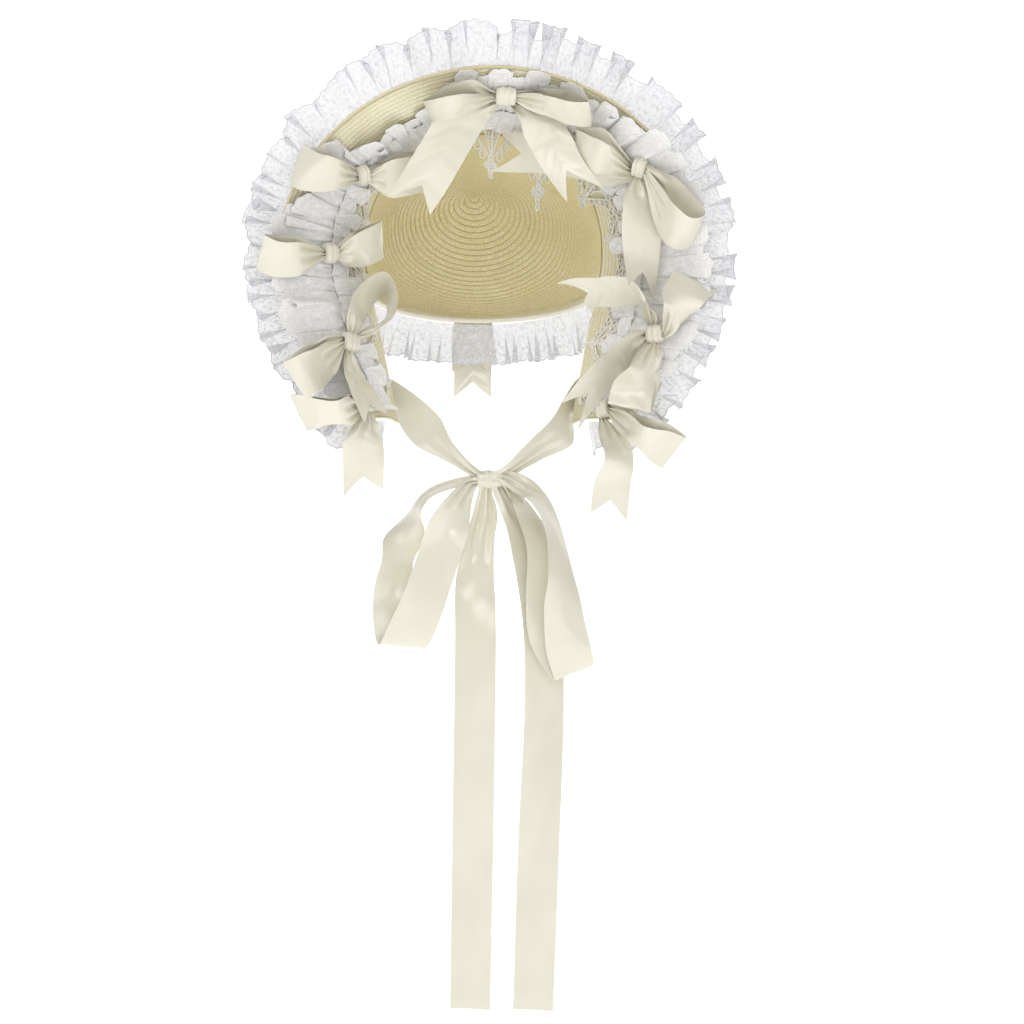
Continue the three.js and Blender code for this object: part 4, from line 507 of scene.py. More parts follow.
class Nodes:
    """Short names for the nodes of one material"""

    def __init__(self, name):
        self.material = bpy.data.materials.new(name)
        self.material.use_nodes = True
        self.tree = self.material.node_tree
        self.shader = node_of(self.tree, "BSDF_PRINCIPLED")
        self.flat = self.add("ShaderNodeTexCoord").outputs["UV"]
        split = self.add("ShaderNodeSeparateXYZ")
        self.link(self.flat, split.inputs[0])
        self.along, self.across = (Value(self, split.outputs[axis]) for axis in "XY")

    def add(self, kind, **settings):
        node = self.tree.nodes.new(kind)
        for key, value in settings.items():
            setattr(node, key, value)
        return node

    def link(self, source, target):
        source = getattr(source, "socket", source)
        if isinstance(source, (int, float)):
            target.default_value = source
        else:
            self.tree.links.new(source, target)

    def feed(self, name, source):
        self.link(source, self.shader.inputs[name])

    def maths(self, operation, a, b=0.0):
        node = self.add("ShaderNodeMath", operation=operation)
        for value, socket in zip((a, b), node.inputs):
            self.link(value, socket)
        return Value(self, node.outputs[0])

    def noise(self, scale, detail=2.0, stretch=None, solid=False):
        node = self.add("ShaderNodeTexNoise")
        node.inputs["Scale"].default_value = scale
        node.inputs["Detail"].default_value = detail
        source = self.add("ShaderNodeTexCoord").outputs["Object"] if solid else self.flat
        if stretch:
            mapping = self.add("ShaderNodeMapping")
            mapping.inputs["Scale"].default_value = stretch
            self.link(source, mapping.inputs["Vector"])
            source = mapping.outputs[0]
        self.link(source, node.inputs["Vector"])
        return Value(self, node.outputs["Fac"])

    def shade(self, name):
        return Value(self, self.add("ShaderNodeAttribute", attribute_name=name).outputs["Fac"])

    def step(self, value, low, high, to_low=0.0, to_high=1.0):
        node = self.add("ShaderNodeMapRange", interpolation_type="SMOOTHSTEP")
        for key, number in (("From Min", low), ("From Max", high), ("To Min", to_low), ("To Max", to_high)):
            node.inputs[key].default_value = number
        self.link(value, node.inputs["Value"])
        return Value(self, node.outputs["Result"])

    def mix(self, amount, first, second):
        node = self.add("ShaderNodeMix", data_type="RGBA")
        self.link(amount, node.inputs[0])
        for socket, colour in ((node.inputs[6], first), (node.inputs[7], second)):
            if isinstance(colour, tuple):
                socket.default_value = (*colour, 1)
            else:
                self.link(colour, socket)
        return Value(self, node.outputs[2])

    def bump(self, height, strength, distance):
        node = self.add("ShaderNodeBump")
        node.inputs["Strength"].default_value = strength
        node.inputs["Distance"].default_value = distance
        self.link(height, node.inputs["Height"])
        self.feed("Normal", node.outputs[0])

    def set(self, **values):
        for key, value in values.items():
            self.shader.inputs[key.replace("_", " ")].default_value = value


# A row of braid and a plait in it, a straw's slant in plaits and the groove between rows as a share of a row
STRAW_ROW = 4.6
PLAIT = 2.1
PLAIT_SLANT = 1.6
GROOVE = 0.16
PINHOLE_COLOUR = (0.97, 0.93, 0.76)


def straw_material(name, light, dark, groove_shade):
    """Braid: each row's straws slant to its middle and back, and patches of them have aged; the grooves
    between rows and plaits are painted shade
    """
    n = Nodes(name)
    row = n.maths("FRACT", n.across / STRAW_ROW)
    slant = abs(row - 0.5)
    plait = abs(n.maths("SINE", (n.along / PLAIT + slant * PLAIT_SLANT) * math.pi))
    groove = n.step(abs(slant - 0.5), 0.0, GROOVE)
    patches = n.noise(35.0, 3.0, solid=True)
    fibre = n.noise(0.42, 2.0, (1.0, 0.8, 1.0))
    body = n.mix(n.step(patches * 0.3 + fibre * 0.7, 0.36, 0.64), dark, light)
    lines = groove * n.step(plait, 0.0, 0.45, 0.55, 1.0)
    # Painted shade: the grooves between rows and plaits get a darker, more golden colour
    deep = tuple(c * (1 - groove_shade * s) for c, s in zip(dark, (1.0, 1.2, 1.8)))
    woven = n.mix(lines * n.step(plait, 0.0, 0.7, 0.72, 1.0), deep, body)
    pinholes = n.step(n.noise(0.8, 1.0, (1.0, 0.4, 1.0)), 0.66, 0.72) * (1.0 - groove)
    n.feed("Base Color", n.mix(pinholes, woven, PINHOLE_COLOUR))
    n.bump(plait * 0.7 + groove * 0.5, 0.7, 0.0006)
    n.set(Roughness=0.62, Specular_IOR_Level=0.35)
    return n.material


# A selvedge runs along each side of a ribbon, between these millimetres from it
SELVEDGE_FROM = 1.5
SELVEDGE_TO = 0.9
SATIN_ROUGHNESS = 0.15


def satin_material(name, colour, shade_colour):
    n = Nodes(name)
    drift = n.noise(0.02, 2.0)
    warp = n.noise(2.2, 1.0, (0.08, 1.6, 1.0))
    n.feed("Base Color", n.mix(n.step(drift, 0.3, 0.7), shade_colour, colour))
    side = abs(n.across - RIBBON_WIDTH / 2)
    selvedge = n.step(side, RIBBON_WIDTH / 2 - SELVEDGE_FROM, RIBBON_WIDTH / 2 - SELVEDGE_TO)
    n.bump(warp * 0.25 + selvedge, 0.25, 0.0003)
    n.feed("Roughness", warp * 0.08 + SATIN_ROUGHNESS)
    n.set(Specular_IOR_Level=0.9, Anisotropic=0.5, Sheen_Weight=0.1, Sheen_Roughness=0.4)
    return n.material


# Lace: the size of its net and wales, then its rim line, its row of eyes and the half widths of their threads
NET_SIZE = 1.3
WALE = 2.1
RIM_LINE, RIM_HALF = 0.5, 0.5
EYE_LINE, EYE_HALF, EYE_PITCH = 3.1, 0.3, 2.5
VINE_HALF = 0.34
# Vines: height and swing as shares of the lace's width, length of a wave and its shift
VINES = ((0.5, 0.17, 14.0, 0.0), (0.6, -0.2, 8.6, 1.0))
# Flowers: height as a share of the width, size, petals, pitch and its shift
FLOWERS = ((0.62, 2.9, 5, 14.0, 0.2), (0.34, 2.1, 6, 14.0, 0.7), (0.8, 1.5, 4, 7.0, 0.4))


def lace_material(name, colour, net_share, width):
    """Flowered net with a corded rim, a row of eyes, vines and flowers; edge is how far off the rim is"""
    n = Nodes(name)
    edge = n.shade("edge")

    def line(value, half):
        return n.step(abs(value), half * 0.5, half * 1.5, 1.0, 0.0)

    def wave(length, shift=0.0):
        return n.maths("SINE", n.along * (2 * math.pi / length) + shift)

    def vine(height, swing, length, shift):
        return line(n.across - (wave(length, shift) * (swing * width) + height * width), VINE_HALF)

    def flower(height, size, petals, pitch, shift):
        x = (n.maths("FRACT", n.along / pitch + shift) - 0.5) * pitch
        y = n.across - height * width
        reach = n.maths("SQRT", x * x + y * y)
        lobes = n.maths("COSINE", n.maths("ARCTAN2", y, x) * petals)
        return n.step(reach - (lobes * 0.3 + 1.0) * size, -0.3, 0.3, 0.75, 0.0)

    voronoi = n.add("ShaderNodeTexVoronoi", feature="DISTANCE_TO_EDGE", voronoi_dimensions="2D")
    voronoi.inputs["Scale"].default_value = 1 / NET_SIZE
    voronoi.inputs["Randomness"].default_value = 0.5
    n.link(n.flat, voronoi.inputs["Vector"])
    net = n.step(voronoi.outputs["Distance"], 0.05, 0.25, net_share + 0.3, net_share)
    warped = n.across + n.noise(0.12, 2.0) * 7.0
    wales = n.step(abs(n.maths("SINE", warped * (math.pi / WALE))), 0.1, 0.4, 0.2, 0.0)
    leaves = n.step(n.noise(0.3, 1.0), 0.53, 0.58, 0.0, 0.25)
    net = net + n.maths("MAXIMUM", wales, leaves)
    eyes = n.step(wave(EYE_PITCH), 0.0, 0.6, 0.0, 0.8) * n.step(edge, EYE_LINE - 0.4, EYE_LINE, 1.0, 0.0)
    thread = n.maths("MAXIMUM", line(edge - RIM_LINE, RIM_HALF), line(edge - EYE_LINE, EYE_HALF))
    for shape in (eyes, *(vine(*row) for row in VINES), *(flower(*row) for row in FLOWERS)):
        thread = n.maths("MAXIMUM", thread, shape)
    n.feed("Alpha", n.maths("MAXIMUM", net, thread * 0.92))
    # Painted shade: the net between the threads is coloured 0.88 as bright as the threads
    n.feed("Base Color", n.mix(thread, tuple(c * 0.88 for c in colour), colour))
    n.bump(thread, 0.25, 0.0003)
    n.set(Roughness=0.9, Specular_IOR_Level=0.2, Sheen_Weight=0.8, Sheen_Roughness=0.6)
    return n.material


CORD_TWIST = 1.1


def cord_material(name, colour):
    n = Nodes(name)
    turn = n.along / CORD_TWIST + n.across / (2 * math.pi)
    strand = abs(n.maths("SINE", turn * math.pi))
    # Painted shade: the lay between the cord's strands is coloured 0.8 as bright
    n.feed("Base Color", n.mix(n.step(strand, 0.0, 0.5), tuple(c * 0.8 for c in colour), colour))
    n.bump(strand, 0.5, 0.0003)
    n.set(Roughness=0.8, Specular_IOR_Level=0.25)
    return n.material


straw = straw_material("straw braid", (0.96, 0.925, 0.73), (0.89, 0.83, 0.58), 0.14)
# The crown's straw is a darker, more golden copy of the brim's: painted shade and painted bounce light of the
# deep crown
crown_straw_painted_shade = straw_material("straw braid of the crown with painted shade", (0.985, 0.92, 0.64), (0.88, 0.79, 0.48), 0.07)
satin = satin_material("ivory satin", (0.80, 0.772, 0.652), (0.76, 0.73, 0.60))
binding_satin = satin_material("ivory binding band", (0.80, 0.77, 0.66), (0.77, 0.74, 0.62))
# The lace of the edge and nape frills is white, coloured grey here as painted shade of the sheer net
lace = lace_material("white lace", (0.80, 0.80, 0.83), net_share=0.5, width=31.0)
thick_lace = lace_material("white lace in close folds", (0.97, 0.96, 0.95), net_share=0.78, width=34.0)
# The white cord on the edge and nape frills is coloured grey as painted shade
grey_shaded_lace_cord = cord_material("white lace cord with painted grey shade", (0.74, 0.74, 0.77))
bright_cord = cord_material("bright lace cord", (0.96, 0.95, 0.94))
guipure_cord = cord_material("ivory guipure cord", (0.96, 0.94, 0.86))


# Straw brim and crown: rows of braid sewn one over another
BRIM_ROWS, BRIM_ROW_STEPS, BRIM_SECTIONS = 23, 6, 340
CROWN_ROWS, CROWN_ROW_STEPS, CROWN_SECTIONS = 36, 5, 265
# Relief: how round a row is, the step down to the next one, how far it sinks in, and the dents of hand sewing
ROW_ROUND = 0.42
ROW_STEP = 0.18
ROW_SINK = 0.25
BRIM_RELIEF = 0.9
EDGE_ROLL = 0.9
BRIM_DENT = 0.25
CROWN_DENT = 0.2
CROWN_RELIEF_MIDDLE, CROWN_RELIEF_RIM = 0.95, 0.4


def braid_relief(place):
    row = place % 1
    return ROW_ROUND * np.sin(np.pi * row) ** 0.9 + ROW_STEP * (1 - row) - ROW_SINK


def along_rows(grid, steps):
    """How far along its row of braid each point is; a row holds a whole number of plaits"""
    travelled = np.cumsum(np.linalg.norm(np.diff(grid, axis=0, prepend=grid[:1]), axis=-1), axis=0)
    column = np.arange(grid.shape[1])
    middle = np.minimum(column // steps, column[-1] // steps - 1) * steps + steps // 2
    travelled = travelled[:, middle]
    return travelled / travelled[-1] * np.round(travelled[-1] / PLAIT) * PLAIT


def straw_brim():
    u = np.linspace(-LAST_STATION, LAST_STATION, BRIM_SECTIONS)[:, None]
    v = np.linspace(0, 1, BRIM_ROWS * BRIM_ROW_STEPS + 1)[None, :]
    at, share = np.broadcast_arrays(u, v)
    grid = on_brim(at, share, 0.0)
    normal = brim_normal(at, share)
    uv = np.stack([along_rows(grid, BRIM_ROW_STEPS), share * BRIM_ROWS * STRAW_ROW], -1)
    roll = EDGE_ROLL * smooth(0.975, 0.99, share)
    dents = BRIM_DENT * uneven(at * 9 + share * 5, 2)
    relief = BRIM_RELIEF * (braid_relief(share * BRIM_ROWS) + roll + dents)
    obj = shell("straw_brim_braid", grid, normal, STRAW, uv, relief)
    finish_piece(obj, straw, ["straw_brim"])


def straw_crown():
    """Rows round the crown's middle, equally far apart on average over some of its sectors"""
    sectors = np.linspace(TOP_SECTOR, TOP_SECTOR + ALL_SECTORS, CROWN_SECTIONS)[:, None]
    fine = np.concatenate([[1e-6], np.linspace(0.002, 1, 400)])
    some = crown_face(np.arange(0, ALL_SECTORS, 3.0)[:, None], fine[None, :])
    steps = np.linalg.norm(np.diff(some, axis=1), axis=-1)
    travelled = np.concatenate([[0], np.cumsum(steps.mean(0))])
    rows = np.linspace(0, 1, CROWN_ROWS * CROWN_ROW_STEPS + 1)
    shares = np.interp(rows * travelled[-1], travelled, fine)
    sector, share = np.broadcast_arrays(sectors, shares[None, :])
    place = np.broadcast_to(rows[None, :], share.shape) * CROWN_ROWS
    grid = crown_face(sector, share)
    normal = -crown_normal(sector, share)
    uv = np.stack([along_rows(grid, CROWN_ROW_STEPS), place * STRAW_ROW], -1)
    depth = lerp(CROWN_RELIEF_MIDDLE, CROWN_RELIEF_RIM, smooth(0.15, 0.7, share))
    relief = depth * braid_relief(place) + CROWN_DENT * uneven(sector * np.pi / 6 + share * 14, 5)
    obj = shell("straw_crown_braid", grid + normal * STRAW / 2, normal, STRAW, uv, relief, ring=True)
    finish_piece(obj, crown_straw_painted_shade, ["straw_crown"])


# Lace: the pitch and depth of its scallops and the radius of the cord along them
SCALLOP = 9.0
SCALLOP_DEPTH = 1.8
LACE_CORD = 0.34


def fullness(at):
    """How full the inner frills stand: 1 where they are free and less where a bow presses them"""
    distance = np.abs(np.asarray(at)[..., None] - PRESSED[:, 0]) / PRESSED[:, 1]
    press = np.where(distance < 1, PRESSED[:, 2] * (1 - distance ** 4), 0)
    return 1 - press.max(-1)


def frill(name, node, waves, width, point_at, samples=30, rows=30, material=lace,
          cord_made_of=grey_shaded_lace_cord):
    """A gathered frill: point_at(u, v) gives its places, with so many samples to a wave and rows across"""
    steps = waves * samples
    u = np.linspace(0, 1, steps + 1)[:, None]
    v = np.linspace(0, 1, rows + 1)[None, :]
    edge = point_at(u, np.ones_like(u))[:, 0]
    travelled = np.concatenate([[0], np.cumsum(np.linalg.norm(np.diff(edge, axis=0), axis=-1))])
    cut = SCALLOP_DEPTH * (1 - np.abs(np.sin(np.pi * travelled / SCALLOP))) / width
    across = v * (1 - cut[:, None])
    grid = point_at(np.broadcast_to(u, across.shape), across)
    along = np.broadcast_to(travelled[:, None], across.shape)
    uv = np.stack([along, across * width], -1)
    obj = cloth(name, grid, uv, {"edge": width * (1 - cut[:, None] - across)})
    finish_piece(obj, material, [node])
    cord = finish_piece(tubes(name + "_cord", [grid[:, -1]], LACE_CORD), cord_made_of)
    flat_size(grid)


# Edge frill: how far it runs in stations, where its curl fades out, how often it waves, how far behind the
# straw it is sewn, its reach at the top and at the cheeks, and how far its folds swing and curl
EDGE_RUN = 8.8
EDGE_FADE = (8.75, 8.3)
EDGE_WAVES = 30
EDGE_BEHIND = 1.55
EDGE_REACH_TOP = 29.5
EDGE_REACH_CHEEK = 25.5
EDGE_SWING = 6.2
EDGE_CURL = 5.6


def edge_frill_point(u, v):
    at = (2 * u - 1) * EDGE_RUN
    side = np.where(at < 0, -1.0, 1.0)
    past = np.maximum(0, np.abs(at) - LAST_STATION)
    station = side * np.minimum(np.abs(at), LAST_STATION)
    base = on_brim(station, 1 - 0.8 * past, -STRAW - EDGE_BEHIND)
    base[..., 2] -= 3 * np.minimum(1, 4 * past)
    outward = edge_outward(station)
    outward = lerp(outward, np.array([0, 0, -1.0]), np.minimum(1, past * 1.4)[..., None])
    outward[..., 1] -= 0.5
    outward = unit(outward)
    behind = -brim_normal(station, np.full_like(station, NEAR_EDGE))
    along = unit(np.cross(outward, behind)) * side[..., None]
    phase = 2 * np.pi * (EDGE_WAVES * u + 0.5 * uneven(u * 20, 3))
    reach = lerp(EDGE_REACH_TOP, EDGE_REACH_CHEEK, np.minimum(1, np.abs(at) / 4))
    reach = reach * (1 + 0.06 * uneven(u * 90, 8))
    size = 1 + 0.35 * uneven(u * 70, 1)
    reach = reach + 2.0 * v * size * np.cos(2 * phase)
    spread = v ** 0.7
    swing = EDGE_SWING * spread * size * np.sin(phase) + spread * np.sin(2.7 * phase + 1)
    sideways = EDGE_CURL * spread ** 1.4 * size * np.sin(2 * phase) + 0.9 * spread * np.sin(5.3 * phase)
    small = 0.9 * np.sin(5.1 * phase) * (1 - v) * smooth(0, 0.15, v)
    point = base + outward * (reach * v - 2 * (1 - v))[..., None]
    point = point + behind * (swing + 1.5 * v + small)[..., None]
    return point + along * (sideways * smooth(*EDGE_FADE, np.abs(at)))[..., None]


# Inner frills: how far they run in stations and where their curl fades out
INNER_RUN = 7.9
INNER_FADE = 7.4


def inner_frill_point(waves, seam_share, end_share, base_height, seed, curl, lift=8.0, swing=4.5):
    """A frill on the brim's face from a seam at one share of its width to an end at another"""
    def point_at(u, v):
        at = (2 * u - 1) * INNER_RUN
        seam = seam_share + 0.012 * uneven(at * 9, seed)
        to = end_share(at)
        way = np.sign(to - seam)
        full = fullness(at)
        phase = 2 * np.pi * (waves * u + 0.45 * uneven(u * 17, seed))
        size = 1 + 0.35 * uneven(u * 60, seed + 4)
        spread = v ** 0.55
        small = 1.1 * np.sin(4.3 * phase) * smooth(0, 0.1, v) * (1 - v)
        rise = full * (lift * size + swing * size * np.sin(phase + 0.7))
        height = base_height + v + spread * rise + small
        sideways = curl * spread * size * np.sin(2 * phase) + 0.8 * spread * np.sin(5.2 * phase)
        meander = spread * v ** 0.5 * size * (0.045 * (np.cos(phase) - 0.3) + 0.03 * np.cos(2 * phase))
        lean = 0.045 * np.sin(np.pi * np.minimum(1, 2.2 * v)) * (0.5 + 0.5 * np.sin(phase))
        share = seam + (to - seam) * v + way * (meander - lean)
        point = on_brim(at, share, height)
        along = brim_along(at, seam + (to - seam) * v)
        return point + along * (sideways * smooth(INNER_RUN, INNER_FADE, np.abs(at)))[..., None]
    return point_at


# Nape frill: the share of the nape left bare at each end, how often it waves, its reach and its seam's place
NAPE_ENDS = 0.06
NAPE_WAVES = 12
NAPE_REACH = 30
NAPE_SEAM_UP, NAPE_SEAM_OUT = 4, 2.8
NAPE_CURL = 5.0


def nape_frill_point(u, v):
    share = NAPE_ENDS + (1 - 2 * NAPE_ENDS) * u
    point = nape_wall(share, NAPE_SEAM_UP * (1 - v), STRAW / 2 + NAPE_SEAM_OUT)
    none = np.zeros_like(share)
    outward = nape_wall(share, none, none + 1) - nape_wall(share, none, none)
    outward[..., 2] = 0
    outward = unit(outward)
    phase = 2 * np.pi * (NAPE_WAVES * u + 0.35 * uneven(u * 9, 6))
    reach = NAPE_REACH * (1 + 0.05 * uneven(u * 50, 2))
    drop = np.zeros_like(point)
    drop[..., 2] = reach * v
    sideways = np.stack([-outward[..., 1], outward[..., 0], 0 * outward[..., 0]], -1)
    swing = v ** 0.8 * (5 + 4.5 * (1 + np.sin(phase))) + 0.5 * v * (1 - v) * np.sin(3.7 * phase)
    point = point - drop + outward * swing[..., None]
    return point + sideways * (NAPE_CURL * v * np.sin(2 * phase))[..., None]


# Nape binding: how far it comes up each side of the straw, its fold's radius and how far that reaches down
BAND_SIDE = 8.0
BAND_RADIUS = 1.9
BAND_DROP = 1.3
BAND_WRINKLE = 0.12


def binding():
    """A satin band folded round the crown's nape edge"""
    share, turn = np.broadcast_arrays(np.linspace(0.02, 0.98, 161)[:, None], np.linspace(0, 1, 25)[None, :])
    bend = np.pi * BAND_RADIUS
    place = turn * (2 * BAND_SIDE + bend)
    angle = np.clip((place - BAND_SIDE) / BAND_RADIUS, 0, np.pi)
    up = np.maximum(np.maximum(BAND_SIDE - place, place - BAND_SIDE - bend), 0) - BAND_DROP * np.sin(angle)
    wrinkle = BAND_WRINKLE * np.sin(share * 260 + turn * 4) * np.sin(np.pi * turn)
    grid = nape_wall(share, up, wrinkle - BAND_RADIUS * np.cos(angle))
    length = np.cumsum(np.linalg.norm(np.diff(grid, axis=0, prepend=grid[:1]), axis=-1), axis=0)
    uv = np.stack([length, place], -1)
    obj = cloth("nape_binding_band", grid, uv)
    finish_piece(obj, binding_satin, ["nape_binding"])
    flat_size(grid)


# Guipure: its cord's radius and its height, the pitch of its flowers and how far one lies off the middle, the
# heights of its long cords, the height and radius of the rings between them, how far down its points go, and
# a flower's height and petals
GUIPURE_CORD = 0.8
GUIPURE_TALL = 34.0
FLOWER_PITCH = 41.0
FLOWER_SHIFT = 4
LONG_CORDS = (1.0, 7.5, 14.0)
SMALL_RINGS = ((10.7, 2.1), (4.2, 2.0))
POINT_TOP, POINT_BOTTOM = 16.8, 30.0
FLOWER_HEIGHT = 33.0
PETAL = 3.6
PETAL_WIDTHS = (1.0, 0.6, 0.25)


def guipure_value(column, at):
    low = np.clip(np.searchsorted(GUIPURE_ROWS[:, 0], at) - 1, 0, len(GUIPURE_ROWS) - 2)
    first, second = GUIPURE_ROWS[low], GUIPURE_ROWS[low + 1]
    between = (at - first[..., 0]) / (second[..., 0] - first[..., 0])
    return lerp(first[..., column], second[..., column], smooth(0, 1, between))


def guipure_place(at, v):
    """v runs from the sewn side at 0 to the free edge at 1, and a little past it in the points"""
    at, v = np.broadcast_arrays(np.asarray(at, float), np.asarray(v, float))
    start, to, drop = (guipure_value(k, at) for k in (1, 2, 3))
    rest = np.clip((v - 0.5) * 2, 0, None)
    share = start + (to - start) * np.where(v <= 0.5, v * 1.2, 0.6 + 0.4 * np.minimum(rest, 1))
    height = 1.35 + 2 * rest * np.minimum(1, drop / 10)
    past = np.where(drop < 3, (rest - np.minimum(rest, 1)) * 0.2, 0)
    point = on_brim(at, np.maximum(share - past, 0), height)
    point[..., 2] -= rest * np.where(drop < 3, 0, drop)
    return point


def guipure():
    """Corded lace: a band of rings and scrolls, and pointed scallops that end in flowers"""
    stations = np.linspace(-7.7, 7.7, 400)
    middle = guipure_place(stations, np.full(400, 0.8))
    travelled = np.concatenate([[0], np.cumsum(np.linalg.norm(np.diff(middle, axis=0), axis=-1))])
    total = travelled[-1]
    lines = []

    def curve(x, y):
        at = np.interp(np.asarray(x, float), travelled, stations)
        lines.append(guipure_place(at, np.asarray(y, float) / GUIPURE_TALL))

    def ring(x, y, radius, steps=9):
        turn = np.linspace(0, 2 * np.pi, steps)
        curve(x + radius * np.cos(turn), y + radius * np.sin(turn))

    def scroll(x, y, radius, way):
        turn = np.linspace(0, 2.6 * np.pi, 14)
        size = radius * (1 - 0.72 * turn / turn[-1])
        curve(x + way * (size * np.cos(turn) - radius), y + size * np.sin(turn))

    centre = np.interp(0.0, stations, travelled) + FLOWER_SHIFT
    straight = np.linspace(0, total, 500)
    for y in LONG_CORDS:
        curve(straight, np.full_like(straight, y))
    for x in np.arange(centre % (FLOWER_PITCH / 8), total, FLOWER_PITCH / 8):
        for y, radius in SMALL_RINGS:
            ring(x, y, radius)
    turn = np.linspace(0, 2 * np.pi, 31)
    for x in np.arange(centre % FLOWER_PITCH, total, FLOWER_PITCH):
        for way in (-1, 1):
            for share in (0.125, 0.375, 0.625, 0.875):
                aside = lerp(FLOWER_PITCH / 2 - 0.5, 4.6, share)
                ring(x + way * aside, lerp(POINT_TOP, POINT_BOTTOM, share ** 1.4), 2.2)
            scroll(x + way * 4.4, 19.0, 3.0, way)
            curve([x + way * 7.0, x + way * 4.4, x + way * 2.0, x], [14, 19.5, 24.5, 28.5])
            curve([x + way * 14, x + way * 9.5, x + way * 5, x + way * 1.5], [14, 21.5, 26, 29])
        curve([x, x], [14, 29])
        for wide in PETAL_WIDTHS:
            petals = PETAL * wide * (1 + 0.32 * np.cos(4 * turn))
            curve(x + petals * np.sin(turn), FLOWER_HEIGHT - petals * np.cos(turn))
        ring(x, 38.4, 1.2, steps=8)
    finish_piece(tubes("guipure_cords", lines, GUIPURE_CORD), guipure_cord, ["guipure_edging"])


# Satin ribbons: points from section to section and across, how far an end reaches to its knot's middle and is
# drawn in there, the pleats where it is gathered and the deepest one, then how far the cloth waves and rolls
SECTION_STEPS = 12
RIBBON_COLUMNS = 21
INTO_KNOT = 0.75
DRAWN_IN = 0.8
PLEATS = 2.5
DEEPEST_PLEAT = 2.0
RIBBON_WAVE = 0.9
RIBBON_ROLL = 0.5


def ribbon_sections(rows, shares):
    rows = np.asarray(rows, float)
    padded = np.vstack([2 * rows[0] - rows[1], rows, 2 * rows[-1] - rows[-2]])
    place = shares * (len(rows) - 1)
    low = np.minimum(np.floor(place), len(rows) - 2).astype(int)
    t = (place - low)[:, None]
    return catmull(*(padded[low + k] for k in range(4)), t)


def ribbon(name, notch, rows, knot_middle):
    """A ribbon through its rows, pleated where it is narrower than it lies flat"""
    rows = [(*row, RIBBON_WIDTH)[:6] for row in rows]
    loop, strap = "loop" in name, "strap" in name
    for end in ((0, -1) if loop else (-1,) if strap else (0,)):
        row = np.array(rows[end], float)
        row[:3] = lerp(row[:3], knot_middle, INTO_KNOT)
        row[5] *= DRAWN_IN
        rows = [tuple(row), *rows] if end == 0 else [*rows, tuple(row)]
    count = (len(rows) - 1) * SECTION_STEPS + 1
    shares = np.linspace(0, 1, count)
    across = np.linspace(0, 1, RIBBON_COLUMNS)
    length = sum(math.dist(a[:3], b[:3]) for a, b in zip(rows, rows[1:]))
    cut = notch / length * (1 - np.abs(2 * across - 1))
    grid = np.zeros((count, RIBBON_COLUMNS, 3))
    width = np.zeros((count, RIBBON_COLUMNS))
    for j, v in enumerate(across):
        x, y, z, turn, tilt, wide = ribbon_sections(rows, shares * (1 - cut[j])).T
        t, l = np.radians(turn), np.radians(tilt)
        way = np.stack([np.cos(t) * np.cos(l), np.sin(l), np.sin(t) * np.cos(l)], -1)
        grid[:, j] = np.stack([x, y, z], -1) + way * ((v - 0.5) * wide)[:, None]
        width[:, j] = wide
    normal = unit(np.cross(np.gradient(grid, axis=0), np.gradient(grid, axis=1)))
    seed = sum(ord(c) for c in name) % 97
    spare = np.sqrt(np.maximum(RIBBON_WIDTH / np.maximum(width, 4) - 1.04, 0))
    depth = np.minimum(width / (np.pi * PLEATS) * spare, DEEPEST_PLEAT)
    folds = depth * np.sin(2 * np.pi * PLEATS * across[None, :] + seed)
    far = shares[:, None]
    spread = smooth(0, 0.12, far) * (smooth(1, 0.88, far) if loop else 1)
    wave = spread * RIBBON_WAVE * np.sin(np.pi * across[None, :])
    wave = wave * np.sin(2 * np.pi * (far * 1.5 + seed * 0.37))
    roll = spread * RIBBON_ROLL * uneven(far * 14 + across[None, :] * 2.2, seed)
    grid = grid + normal * (folds + wave + roll)[..., None]
    travelled = np.cumsum(np.linalg.norm(np.diff(grid, axis=0, prepend=grid[:1]), axis=-1), axis=0)
    uv = np.stack([travelled, np.broadcast_to(across * RIBBON_WIDTH, width.shape)], -1)
    obj = cloth(name + "_ribbon", grid, uv)
    finish_piece(obj, satin, [name])
    "straw_brim" if "chin" not in name else "chin_knot"


# Knots: how far a brim knot's middle is off the straw, how round its band is and how square, and its pleats
KNOT_HEIGHT = 7.6
KNOT_SIDE, KNOT_BELLY = 0.80, 0.22
KNOT_SQUARENESS = 0.8
KNOT_PLEAT = 0.045


def knot(name, middle, long_way, wide_way, long, wide, deep):
    """A band wrapped round the ribbons' ends: pleated, and narrower at both its sides"""
    deep_way = np.cross(long_way, wide_way)
    turn = np.linspace(0, 2 * np.pi, 49)[:, None]
    place = np.linspace(-1, 1, 33)[None, :]
    barrel = KNOT_SIDE + KNOT_BELLY * np.sqrt(np.maximum(1 - place ** 2, 0))
    closing = np.sqrt(np.clip((1 - np.abs(place)) / 0.10, 0, 1))
    pleat = KNOT_PLEAT * np.sin(9.0 * place + 1.3 * np.sin(turn) + len(name)) * closing
    size = (barrel + pleat) * (0.45 + 0.55 * closing)
    c, s = (np.sign(wave) * np.abs(wave) ** KNOT_SQUARENESS for wave in (np.cos(turn), np.sin(turn)))
    grid = middle + long_way * (place * long / 2 + 0 * turn)[..., None]
    grid = grid + wide_way * (c * size * wide / 2)[..., None] + deep_way * (s * size * deep / 2)[..., None]
    uv = np.stack(np.broadcast_arrays(turn * wide / 2, (place + 1) * 8 + 7), -1)
    finish_piece(cloth(name + "_wrap", grid, uv), satin, [name])


